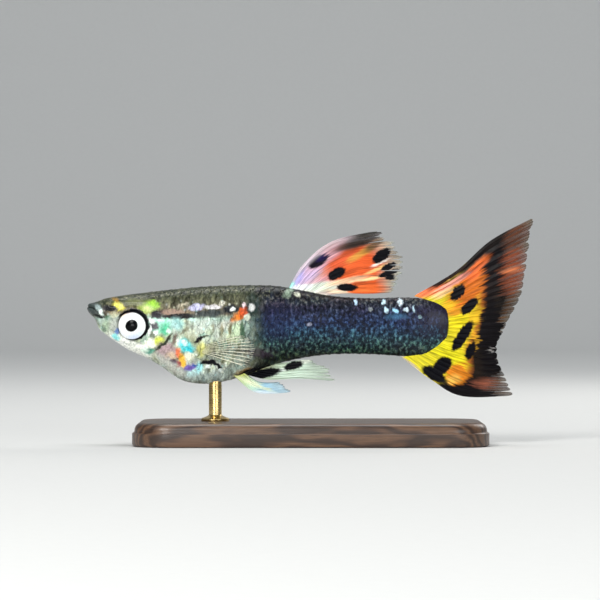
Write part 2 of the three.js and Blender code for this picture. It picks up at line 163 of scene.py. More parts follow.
# The body as a grid of points: rings along it, and equal lengths of girth round each ring from the
# middle of the back, down the left side, under the belly and up the right side
def buildBodyGrid():
    shares = (np.arange(bodyShape["gridRings"]) + 0.5) / bodyShape["gridRings"]
    places = ringPlace(shares)
    fine = np.pi / 2 + np.linspace(0, 2 * np.pi, bodyShape["girthSteps"] + 1)
    girths = np.arange(bodyShape["gridSides"] + 1) / bodyShape["gridSides"]
    grid = np.empty((len(places), len(girths), 3))
    for i, at in enumerate(places):
        ring = sectionPoint(np.full_like(fine, at), fine)
        walked = np.concatenate([[0], np.cumsum(np.linalg.norm(np.diff(ring, axis=0), axis=1))])
        angles = np.interp(girths, walked / walked[-1], fine)
        grid[i] = sectionPoint(np.full_like(angles, at), angles)
    lengthwise = np.gradient(grid, axis=0)
    around = np.roll(grid, -1, 1) - np.roll(grid, 1, 1)
    around[:, 0] = grid[:, 1] - grid[:, -2]
    around[:, -1] = around[:, 0]
    normals = np.cross(lengthwise, around)
    normals /= np.linalg.norm(normals, axis=2, keepdims=True)
    middle = grid.mean(1, keepdims=True)
    if np.mean(np.sum((grid - middle) * normals, -1)) < 0:
        normals = -normals
    return places, grid, normals


gridPlaces, gridPoints, gridNormals = buildBodyGrid()


def onGrid(values, at, girth):
    i = np.interp(at, gridPlaces, np.arange(len(gridPlaces)))
    j = (girth % 1) * bodyShape["gridSides"]
    i0 = np.clip(np.floor(i).astype(int), 0, len(gridPlaces) - 2)
    j0 = np.clip(np.floor(j).astype(int), 0, bodyShape["gridSides"] - 1)
    s, t = (i - i0)[..., None], (j - j0)[..., None]
    near = values[i0, j0] * (1 - t) + values[i0, j0 + 1] * t
    far = values[i0 + 1, j0] * (1 - t) + values[i0 + 1, j0 + 1] * t
    return near * (1 - s) + far * s


print("body grid ready")

# Relief of the head and body, in the side view. A line pushes the skin in or out along a path.
eye = {
    "at": 3.9, "up": -0.02, "radius": 1.24,
    "proud": 0.4,  # how far it stands out of the side of the head
    "dome": 2.1,  # radius of the curve of its front
    "pupil": 0.53, "lens": 0.07,  # radius and height of the lens on top of the dome
    "depth": 0.75, "edgeBulge": 0.012,
    "lean": 0.16,  # the eyes face a little forwards, as the head narrows to the snout
    "segments": 72, "frontSteps": 32, "backSteps": 10,
    "seat": 0.6, "seatEdge": (-0.12, 0.1),  # depth of the hollow under it, and where its wall runs
    "folds": [(0.2, 0.17, 0.05), (0.52, 0.12, -0.035)],  # distance outside the eye, width, height
}
cover = {
    "outline": [(5.75, 0.95), (7.1, 0.85), (8.15, -0.1), (8.55, -1.35), (8.2, -2.5), (7.2, -3.05),
                (6.2, -2.5), (5.6, -1.0)],
    "proud": 0.17,
    "raised": (5.7, 8.1),  # it rises out of the head between these places
    "edge": (-0.02, 0.09),  # where its edge rises, counted inwards from the outline
    "groove": (-0.09, 0.08, 0.07),  # behind the edge: distance inwards, width, depth
    "within": (5, 9.2, -3.7, 1.5),  # first and last place, lowest and highest point looked at
}
relief = {
    "lines": [  # path, width to each side of it, and height
        {"path": [(-0.2, 1.58), (0.3, 1.5), (0.9, 1.22), (1.42, 0.84)], "width": 0.055, "height": -0.1},
        {"path": [(0.1, 1.42), (0.45, 1.2), (0.95, 0.9), (1.3, 0.66)], "width": 0.17, "height": 0.05},
        {"path": [(0.2, 1.82), (0.6, 1.66), (1.1, 1.38), (1.55, 1.04)], "width": 0.13, "height": 0.04},
        {"path": [(1.5, 1.0), (1.62, 0.6), (1.66, 0.1), (1.9, -0.75)], "width": 0.09, "height": -0.05},
        {"path": [(0.55, 0.55), (1.0, -0.05), (1.75, -0.72)], "width": 0.1, "height": -0.035},
        {"path": [(5.55, 0.5), (5.5, -0.6), (5.75, -1.7), (5.3, -2.35)], "width": 0.11, "height": 0.035},
        {"path": [(5.1, -2.35), (6.05, -1.95), (6.75, -1.45), (7.1, -0.85), (7.15, 0.2)], "width": 0.09,
         "height": -0.075},
        {"path": [(7.0, -0.2), (7.6, -0.9), (7.95, -1.9)], "width": 0.3, "height": 0.03},
        {"path": [(5.4, -2.95), (6.4, -3.2), (7.5, -3.5), (8.3, -3.2)], "width": 0.08, "height": -0.04},
        {"path": [(2.6, 2.1), (3.8, 2.0), (5.2, 2.05)], "width": 0.16, "height": 0.03},
        {"path": [(13.0, -3.9), (14.2, -3.6), (15.2, -3.2)], "width": 0.3, "height": 0.06},
    ],
    "spots": [  # round pits and bumps: place, radius, height
        {"at": 2.12, "up": 1.72, "radius": 0.12, "height": -0.2},
        {"at": 2.12, "up": 1.72, "radius": 0.27, "height": 0.045},
        {"at": 2.62, "up": 1.62, "radius": 0.08, "height": -0.08},
        {"at": 9.95, "up": -2.02, "radius": 0.52, "height": 0.13},
        {"at": 1.15, "up": 0.95, "radius": 0.3, "height": 0.07},
    ],
}


def lineDistance(at, up, path):
    best = np.full(np.shape(at), 1e9)
    for (a, b), (c, d) in zip(path[:-1], path[1:]):
        run, rise = c - a, d - b
        t = np.clip(((at - a) * run + (up - b) * rise) / (run * run + rise * rise), 0, 1)
        best = np.minimum(best, np.hypot(at - a - t * run, up - b - t * rise))
    return best


# A closed curve through the points given
def smoothLoop(points, steps=12):
    points = np.array(points, float)
    t = np.arange(steps)[:, None] / steps
    before, after, later = (np.roll(points, shift, 0) for shift in (1, -1, -2))
    return np.concatenate([between(a, b, c, d, t) for a, b, c, d in zip(before, points, after, later)])


coverLoop = smoothLoop(cover["outline"])


def insideLoop(at, up, loop):
    inside = np.zeros(np.shape(at), bool)
    for (a, b), (c, d) in zip(loop, np.roll(loop, -1, 0)):
        crosses = (b > up) != (d > up)
        safe = np.where(d == b, 1e-9, d - b)
        inside ^= crosses & (at < a + (up - b) / safe * (c - a))
    return inside


# Distance from a loop, positive inside it
def loopDistance(at, up, loop):
    closed = [tuple(p) for p in loop] + [tuple(loop[0])]
    distance = lineDistance(at, up, closed)
    return np.where(insideLoop(at, up, loop), distance, -distance)


def coverRelief(at, up):
    first, last, low, high = cover["within"]
    near = (at > first) & (at < last) & (up > low) & (up < high)
    inner = np.full(at.shape, -1.0)
    inner[near] = loopDistance(at[near], up[near], coverLoop)
    inward, width, depth = cover["groove"]
    lift = cover["proud"] * smooth(*cover["edge"], inner) - depth * bump(inner - inward, width)
    return smooth(*cover["raised"], at) * lift


def skinRelief(points):
    at, up = points[..., 0], points[..., 2]
    lift = coverRelief(at, up)
    for line in relief["lines"]:
        lift += line["height"] * bump(lineDistance(at, up, line["path"]), line["width"])
    for spot in relief["spots"]:
        lift += spot["height"] * bump(np.hypot(at - spot["at"], up - spot["up"]), spot["radius"])
    outside = np.hypot(at - eye["at"], up - eye["up"]) - eye["radius"]
    lift -= eye["seat"] * (1 - smooth(*eye["seatEdge"], outside))
    for away, width, height in eye["folds"]:
        lift += height * bump(outside - away, width)
    return lift


def skinPoint(at, girth, lift=0.0):
    base = onGrid(gridPoints, at, girth)
    normal = onGrid(gridNormals, at, girth)
    normal /= np.linalg.norm(normal, axis=-1, keepdims=True)
    return base + normal * (skinRelief(base) + lift - bodyShape["skinUnder"])[..., None]


# Meshes
def meshPiece(name, points, faces, uv=None, **values):
    mesh = bpy.data.meshes.new(name)
    mesh.from_pydata(points.tolist(), [], faces)
    mesh.validate()
    mesh.polygons.foreach_set("use_smooth", [True] * len(mesh.polygons))
    for key, data in values.items():
        kind, field = ("FLOAT_VECTOR", "vector") if data.ndim == 2 else ("FLOAT", "value")
        attribute = mesh.attributes.new(key, kind, "POINT")
        attribute.data.foreach_set(field, data.astype(np.float32).ravel())
    if uv is not None:
        layer = mesh.uv_layers.new(name="OFBake")
        corners = np.empty(len(mesh.loops), np.int32)
        mesh.loops.foreach_get("vertex_index", corners)
        layer.data.foreach_set("uv", uv[corners].astype(np.float32).ravel())
    mesh.update()
    piece = bpy.data.objects.new(name, mesh)
    bpy.context.scene.collection.objects.link(piece)
    return piece


# A closed mesh whose faces look inwards has a volume below zero, and is turned round
def faceOutwards(mesh):
    form = bmesh.new()
    form.from_mesh(mesh)
    if form.calc_volume(signed=True) < 0:
        mesh.flip_normals()
    form.free()


def finish(piece, slotName, material, *nodes):
    faceOutwards(piece.data)
    piece.data.materials.append(material)
    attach(piece, "root")
    if nodes:
        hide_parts(*nodes)
    return piece


def gridFaces(rows, columns, start=0, wrap=False):
    i, j = np.meshgrid(np.arange(rows - 1), np.arange(columns if wrap else columns - 1), indexing="ij")
    k = (j + 1) % columns
    corners = np.stack([i * columns + j, i * columns + k, (i + 1) * columns + k, (i + 1) * columns + j], -1)
    return (corners.reshape(-1, 4) + start).tolist()


# Rings closed by the two points that follow them, one at each end
def pointedFaces(rings, count):
    faces = gridFaces(rings, count, wrap=True)
    last = (rings - 1) * count
    for j in range(count):
        k = (j + 1) % count
        faces += [[rings * count, k, j], [rings * count + 1, last + j, last + k]]
    return faces


# Rings closed by a flat face at each end
def cappedFaces(rings, count):
    last = (rings - 1) * count
    return gridFaces(rings, count, wrap=True) + [list(range(count))[::-1], list(range(last, last + count))]


# A thin plate: a grid of points for one side, then one for the other, joined round the rim
def plateFaces(rows, columns):
    count, last, end = rows * columns, rows - 1, columns - 1
    rim = ([(0, j) for j in range(end)] + [(i, end) for i in range(last)]
           + [(last, j) for j in range(end, 0, -1)] + [(i, 0) for i in range(last, 0, -1)])
    rim = [i * columns + j for i, j in rim]
    joins = [[b, a, count + a, count + b] for a, b in zip(rim, rim[1:] + rim[:1])]
    return gridFaces(rows, columns) + [f[::-1] for f in gridFaces(rows, columns, start=count)] + joins


# Node helpers
def newMaterial(name):
    material = bpy.data.materials.new(name)
    material.use_nodes = True
    material.node_tree.nodes.clear()
    return material, material.node_tree


def feed(tree, socket, value):
    if isinstance(value, bpy.types.NodeSocket):
        tree.links.new(value, socket)
    elif isinstance(value, tuple) and len(value) == 3 and socket.type == "RGBA":
        socket.default_value = (*value, 1)
    else:
        socket.default_value = value


def maths(tree, kind, *values, clamp=False):
    node = tree.nodes.new("ShaderNodeMath")
    node.operation, node.use_clamp = kind, clamp
    for socket, value in zip(node.inputs, values):
        feed(tree, socket, value)
    return node.outputs[0]


def times(tree, a, b):
    return maths(tree, "MULTIPLY", a, b)


# A noise value as a push either way, up to half the amount
def push(tree, noise, amount):
    return times(tree, maths(tree, "SUBTRACT", noise, 0.5), amount)


def vectorMaths(tree, kind, *values):
    node = tree.nodes.new("ShaderNodeVectorMath")
    node.operation = kind
    for socket, value in zip(node.inputs, values):
        feed(tree, socket, value)
    return node.outputs["Value" if kind == "LENGTH" else "Vector"]


def scaled(tree, vector, x, y, z):
    return vectorMaths(tree, "MULTIPLY", vector, (x, y, z))


def split(tree, vector):
    node = tree.nodes.new("ShaderNodeSeparateXYZ")
    feed(tree, node.inputs[0], vector)
    return node.outputs


def joined(tree, x, y=0.0, z=0.0):
    node = tree.nodes.new("ShaderNodeCombineXYZ")
    for socket, value in zip(node.inputs, (x, y, z)):
        feed(tree, socket, value)
    return node.outputs[0]


def mixed(tree, factor, a, b, kind="MIX"):
    node = tree.nodes.new("ShaderNodeMix")
    node.data_type, node.blend_type = "RGBA", kind
    for socket, value in zip((node.inputs[0], node.inputs[6], node.inputs[7]), (factor, a, b)):
        feed(tree, socket, value)
    return node.outputs[2]


def ranged(tree, value, low, high, start=0.0, end=1.0):
    node = tree.nodes.new("ShaderNodeMapRange")
    node.interpolation_type = "SMOOTHSTEP"
    for socket, given in zip(node.inputs, (value, low, high, start, end)):
        feed(tree, socket, given)
    return node.outputs[0]


# Roughness that follows a noise
def roughOf(tree, noise, smoothest, roughest):
    return ranged(tree, noise, 0.3, 0.7, smoothest, roughest)


def ramp(tree, value, stops, low=0.0, high=1.0):
    if (low, high) != (0.0, 1.0):
        value = maths(tree, "DIVIDE", maths(tree, "SUBTRACT", value, low), high - low)
    node = tree.nodes.new("ShaderNodeValToRGB")
    band = node.color_ramp
    while len(band.elements) < len(stops):
        band.elements.new(0.5)
    for element, (place, colour) in zip(band.elements, stops):
        element.position = (place - low) / (high - low)
        element.color = (*colour, 1)
    feed(tree, node.inputs[0], value)
    return node.outputs[0]


def tinted(tree, colour, value, stops):
    return mixed(tree, 1.0, colour, ramp(tree, value, stops), "MULTIPLY")


def noiseOf(tree, vector, scale, detail=2.0, rough=0.6, output=0):
    node = tree.nodes.new("ShaderNodeTexNoise")
    feed(tree, node.inputs["Vector"], vector)
    for key, value in (("Scale", scale), ("Detail", detail), ("Roughness", rough)):
        node.inputs[key].default_value = value
    return node.outputs[output]


# A colour under the tints of a noise: stretch of the place, then scale, detail and roughness
def mottled(tree, colour, place, look):
    stretched = scaled(tree, place, *look["stretch"]) if "stretch" in look else place
    return tinted(tree, colour, noiseOf(tree, stretched, *look["noise"]), look["stops"])


def cellsOf(tree, vector, scale, output="Color"):
    node = tree.nodes.new("ShaderNodeTexVoronoi")
    feed(tree, node.inputs["Vector"], vector)
    node.inputs["Scale"].default_value = scale
    return node.outputs[output]


# Three random values for each cell
def cellValues(tree, vector, scale):
    node = tree.nodes.new("ShaderNodeSeparateColor")
    feed(tree, node.inputs[0], cellsOf(tree, vector, scale))
    return node.outputs


def wavesOf(tree, vector, direction, settings):
    node = tree.nodes.new("ShaderNodeTexWave")
    node.bands_direction = direction
    feed(tree, node.inputs["Vector"], vector)
    for key, value in settings.items():
        node.inputs[key].default_value = value
    return node.outputs["Fac"]


def attributeOf(tree, name, output="Fac"):
    node = tree.nodes.new("ShaderNodeAttribute")
    node.attribute_name = name
    return node.outputs[output]


def objectPlace(tree):
    return tree.nodes.new("ShaderNodeTexCoord").outputs["Object"]


# The fish's own place of a surface point, in millimetres: (at, up, side)
def fishPlace(tree):
    moved = vectorMaths(tree, "MULTIPLY_ADD", objectPlace(tree), (1000, 1000, 1000),
                        (-fish["snoutX"], 0, -fish["axisHeight"]))
    x, y, z = split(tree, moved)
    return joined(tree, x, z, y)


def shifted(tree, place, amount, scale, detail=2.0):
    wobble = noiseOf(tree, place, scale, detail, 0.55, output=1)
    centred = vectorMaths(tree, "SUBTRACT", wobble, (0.5, 0.5, 0.5))
    return vectorMaths(tree, "ADD", place, scaled(tree, centred, amount, amount, 0.0))


# Strength, from 0 to 1, of an oval patch: middle, half sizes, tilt in degrees, and softness of its edge
def patchMask(tree, place, at, up, long, tall, tilt, soft, strength=1.0):
    node = tree.nodes.new("ShaderNodeMapping")
    node.vector_type = "TEXTURE"
    feed(tree, node.inputs["Vector"], place)
    node.inputs["Location"].default_value = (at, up, 0)
    node.inputs["Rotation"].default_value = (0, 0, math.radians(tilt))
    node.inputs["Scale"].default_value = (long, tall, 1e6)  # the same on both sides of the fish
    reach = vectorMaths(tree, "LENGTH", node.outputs[0])
    return ranged(tree, reach, 1 - soft, 1 + soft, strength, 0.0)


# Patches laid over a colour. Each batch waits for the colours below it, which keeps the shader small.
def painted(tree, place, colour, patches, batch=20):
    spot = place
    for i, (at, up, long, tall, tilt, soft, strength, paint) in enumerate(patches):
        if i % batch == 0:
            spot = vectorMaths(tree, "MULTIPLY_ADD", colour, (1e-6, 1e-6, 1e-6), place)
        mask = patchMask(tree, spot, at, up, long, tall, tilt, soft, strength)
        colour = mixed(tree, mask, colour, paint)
    return colour


def bumpOf(tree, height, strength, distance, below=None):
    node = tree.nodes.new("ShaderNodeBump")
    node.inputs["Strength"].default_value = strength
    node.inputs["Distance"].default_value = distance
    feed(tree, node.inputs["Height"], height)
    if below is not None:
        feed(tree, node.inputs["Normal"], below)
    return node.outputs[0]


def shader(tree, colour, settings):
    node = tree.nodes.new("ShaderNodeBsdfPrincipled")
    feed(tree, node.inputs["Base Color"], colour)
    for key, value in settings.items():
        feed(tree, node.inputs[key], value)
    out = tree.nodes.new("ShaderNodeOutputMaterial")
    tree.links.new(node.outputs[0], out.inputs[0])


# Body markings, with painted shadow, shade, highlights and glints among them. The flank and rear colours run
# from belly to back, by height above the long axis.
bodyLook = {
    "flank": [(-5.0, (0.46, 0.54, 0.54)), (-4.4, (0.48, 0.56, 0.55)), (-3.3, (0.32, 0.37, 0.33)),
              (-1.8, (0.3, 0.36, 0.24)), (-0.4, (0.42, 0.52, 0.42)), (0.55, (0.36, 0.5, 0.46)),
              (0.95, (0.16, 0.12, 0.08)), (1.9, (0.085, 0.085, 0.055)), (2.6, (0.05, 0.055, 0.035)),
              (3.3, (0.02, 0.026, 0.016))],
    "flankSpan": (-5.0, 3.4),
    "rear": [(-2.75, (0.01, 0.016, 0.01)), (-2.2, (0.014, 0.028, 0.025)), (-1.4, (0.013, 0.034, 0.042)),
             (-0.7, (0.009, 0.026, 0.052)), (0.2, (0.006, 0.014, 0.048)), (1.2, (0.008, 0.011, 0.03)),
             (1.9, (0.016, 0.018, 0.026)), (2.6, (0.012, 0.013, 0.013))],
    "rearSpan": (-2.8, 2.6),
    "rearFrom": 12.6, "rearFull": 15.2, "rearEdge": 3.4, "rearNoise": (0.8, 3.0),  # the two blend here
    "warp": (0.42, 1.7, 3.0),  # amount, scale and detail of the unevenness of the bands
    "patchWarp": (0.55, 2.4, 5.0),
    "streaks": {  # upright, on the flank
        "stretch": (2.8, 0.7, 0.7), "noise": (1.0, 3.0),
        "stops": [(0.32, (0.3, 0.27, 0.18)), (0.48, (0.9, 0.92, 0.84)), (0.66, (2.2, 2.2, 2.0))],
    },
    "pearl": {  # a mosaic of small cells in pale tints
        "stretch": (1.5, 1.1, 1.1), "scale": 1.3, "strength": 0.5,
        "above": (-4.8, -3.2), "below": (0.7, 0.3),
        "stops": [(0.0, (0.22, 0.42, 0.4)), (0.25, (0.6, 0.68, 0.62)), (0.45, (0.2, 0.22, 0.12)),
                  (0.6, (0.5, 0.52, 0.32)), (0.8, (0.78, 0.82, 0.78)), (1.0, (0.12, 0.15, 0.12))],
    },
    "crown": {  # the dark back, by depth below its highest line
        "stretch": (1.0, 0.9, 1.0), "noise": (4.0, 3.0, 0.7), "depth": (1.15, 0.25), "strength": 0.85,
        "stops": [(0.38, (0.01, 0.014, 0.007)), (0.5, (0.04, 0.05, 0.025)), (0.6, (0.13, 0.13, 0.08)),
                  (0.72, (0.36, 0.35, 0.25))],
    },
    "paintedGlints": {  # painted glints: small bright cells, and dark ones between them
        "stretch": (3.2, 2.6, 2.6), "size": (0.5, 0.12), "share": (0.6, 0.85), "depth": (0.5, 2.4),
        "strength": 0.85,
        "stops": [(0.2, (0.5, 0.85, 0.85)), (0.5, (0.95, 1.0, 0.95)), (0.8, (0.8, 0.85, 0.6))],
        "gapSize": (0.7, 0.2), "gapShare": (0.7, 0.95), "gapStrength": 0.5, "gap": (0.06, 0.08, 0.06),
    },
    "flecks": {  # fine and upright, on the rear
        "stretch": (4.4, 3.0, 3.0), "noise": (1.0,),
        "stops": [(0.36, (0.25, 0.25, 0.3)), (0.48, (0.8, 0.8, 0.85)), (0.56, (2.2, 2.2, 2.0)),
                  (0.66, (7.0, 6.0, 4.2))],
    },
    "clouds": {
        "stretch": (0.5, 0.9, 0.9), "noise": (1.0,),
        "stops": [(0.35, (0.75, 0.6, 0.75)), (0.65, (1.15, 1.3, 1.2))],
    },
    "grain": {"noise": (9.0,), "stops": [(0.3, (0.84, 0.84, 0.84)), (0.7, (1.14, 1.14, 1.14))]},
    "speckle": {
        "stretch": (1.2, 0.8, 0.8), "noise": (4.5, 3.0, 0.65),
        "stops": [(0.34, (0.66, 0.68, 0.64)), (0.5, (1.0, 1.0, 1.0)), (0.68, (1.25, 1.25, 1.2))],
    },
}

# Patches on the body and fins: at, up, half length, half height, tilt, softness, strength, colour
black = (0.003, 0.003, 0.005)
white = (0.86, 0.9, 0.86)
headPatches = [
    # snout and mouth
    (0.5, 1.35, 0.95, 0.8, -20, 0.5, 0.95, (0.045, 0.06, 0.06)),
    (0.55, 0.6, 0.5, 0.2, -50, 0.6, 0.8, (0.12, 0.14, 0.11)),
    (1.0, 0.76, 0.58, 0.11, -12, 0.4, 1.0, (0.004, 0.006, 0.005)),
    (0.2, 1.53, 0.4, 0.06, -10, 0.5, 0.9, (0.006, 0.008, 0.008)),
    (0.62, 1.36, 0.22, 0.06, -26, 0.5, 0.8, (0.006, 0.008, 0.008)),
    # painted highlight on the lip: a pale streak, and a bright spot at its lower end
    (1.1, 1.36, 0.52, 0.19, -56, 0.5, 0.85, (0.34, 0.43, 0.43)),
    (1.26, 1.08, 0.26, 0.17, -50, 0.45, 1.0, (0.85, 0.95, 0.9)),
    (2.0, 0.6, 0.42, 0.25, 0, 0.6, 0.7, (0.04, 0.16, 0.09)),
    (1.75, 0.0, 0.42, 0.4, -45, 0.7, 0.7, (0.3, 0.4, 0.26)),
    (1.5, -0.35, 0.26, 0.2, -45, 0.6, 0.6, (0.03, 0.12, 0.05)),
    (2.4, 0.85, 0.35, 0.25, 0, 0.6, 0.7, (0.62, 0.6, 0.36)),
    # crown and cheek
    (2.74, 1.6, 0.48, 0.34, -15, 0.5, 1.0, (0.86, 0.8, 0.13)),
    (1.98, 1.44, 0.66, 0.26, -6, 0.25, 1.0, black),
    (2.45, 2.15, 0.3, 0.16, -25, 0.6, 0.8, (0.35, 0.2, 0.03)),
    (4.0, 1.95, 0.7, 0.3, 0, 0.7, 0.7, (0.16, 0.18, 0.07)),
    (5.35, 1.5, 0.85, 0.55, 8, 0.45, 0.95, (0.3, 0.42, 0.07)),
    (5.65, 1.75, 0.5, 0.34, 0, 0.5, 0.95, (0.3, 0.6, 0.05)),
    (5.25, 1.35, 0.4, 0.28, 0, 0.6, 0.8, (0.62, 0.7, 0.28)),
    (4.0, 0.06, 1.41, 1.34, 0, 0.04, 1.0, black),
    (2.55, -0.25, 0.6, 1.0, 15, 0.5, 0.95, (0.42, 0.45, 0.4)),
    (6.4, 0.1, 0.85, 0.72, -10, 0.4, 0.95, (0.34, 0.78, 0.58)),
    (6.75, -0.3, 0.42, 0.5, 0, 0.5, 0.9, (0.07, 0.5, 0.27)),
    (5.8, -0.05, 0.36, 0.42, 30, 0.35, 0.95, (0.07, 0.05, 0.07)),
    (5.62, 0.38, 0.3, 0.2, -25, 0.4, 0.95, white),
    (5.42, -0.45, 0.13, 0.46, -12, 0.4, 0.95, white),
    (5.95, -0.68, 0.2, 0.18, 0, 0.35, 1.0, white),
    (7.0, -0.5, 0.2, 0.22, 0, 0.35, 0.95, (0.7, 0.9, 0.75)),
    (6.2, 0.55, 0.42, 0.24, 0, 0.5, 0.8, (0.7, 0.95, 0.85)),
    # under the eye
    (3.5, -1.72, 1.95, 0.58, -26, 0.3, 1.0, (0.92, 0.94, 0.88)),
    (4.5, -2.05, 1.1, 0.5, -22, 0.4, 1.0, (0.9, 0.93, 0.84)),
    (2.5, -0.98, 0.36, 0.24, -30, 0.5, 0.95, (0.28, 0.84, 0.84)),
    (2.62, -0.5, 0.2, 0.3, 0, 0.5, 0.9, (0.08, 0.16, 0.4)),
    (5.5, -1.5, 0.62, 0.36, 8, 0.35, 1.0, (0.92, 0.94, 0.8)),
    (6.25, -1.3, 0.42, 0.36, 20, 0.4, 1.0, (0.62, 0.7, 0.1)),
    (6.45, -1.62, 0.42, 0.16, 30, 0.5, 0.9, (0.12, 0.24, 0.03)),
    (5.4, -2.2, 0.42, 0.22, 15, 0.5, 0.9, (0.03, 0.3, 0.21)),
    (5.0, -2.05, 0.34, 0.26, 0, 0.5, 0.8, (0.72, 0.92, 0.78)),
    (6.98, -1.1, 0.5, 0.14, 60, 0.45, 0.95, (0.02, 0.018, 0.008)),
    # gill cover and throat
    (6.9, -2.2, 0.95, 0.7, -20, 0.4, 0.95, (0.44, 0.31, 0.33)),
    (7.25, -2.6, 0.5, 0.38, -20, 0.6, 0.9, (0.66, 0.5, 0.34)),
    (6.6, -2.75, 0.7, 0.28, -35, 0.6, 0.7, (0.42, 0.38, 0.36)),
    (7.5, -1.2, 0.2, 0.55, -18, 0.5, 0.85, (0.14, 0.08, 0.06)),
    (6.5, -1.62, 0.95, 0.12, 40, 0.5, 0.95, (0.02, 0.03, 0.015)),
    (7.4, -3.1, 0.3, 0.24, 0, 0.5, 0.8, (0.12, 0.05, 0.13)),
    (7.9, -1.45, 0.24, 0.36, 10, 0.4, 0.95, (0.85, 0.85, 0.74)),
    (8.5, -1.75, 0.72, 0.5, -48, 0.4, 1.0, (0.12, 0.72, 0.76)),
    (8.35, -1.45, 0.3, 0.2, -40, 0.4, 0.95, (0.75, 0.97, 0.93)),
    (8.75, -2.05, 0.32, 0.22, -50, 0.4, 0.9, (0.02, 0.5, 0.62)),
    (8.72, -2.65, 0.4, 0.42, 10, 0.45, 0.95, (0.82, 0.84, 0.66)),
    (7.88, -2.45, 0.24, 0.5, 15, 0.35, 1.0, (0.86, 0.2, 0.09)),
    (8.15, -3.0, 0.28, 0.6, 12, 0.35, 1.0, (0.94, 0.55, 0.07)),
    (7.85, -3.3, 0.2, 0.3, 15, 0.5, 0.9, (0.34, 0.06, 0.06)),
    (8.85, -3.6, 0.58, 0.3, 12, 0.4, 1.0, (0.2, 0.14, 0.5)),
    (9.35, -3.35, 0.4, 0.1, 10, 0.4, 0.9, (0.03, 0.12, 0.4)),
    (9.1, -4.05, 0.75, 0.34, 22, 0.45, 0.95, (0.62, 0.9, 0.9)),
    (9.6, -3.55, 0.3, 0.45, -20, 0.4, 0.95, (0.4, 0.9, 0.95)),
    (7.3, -3.55, 1.6, 0.36, -36, 0.6, 0.8, (0.62, 0.64, 0.58)),
]
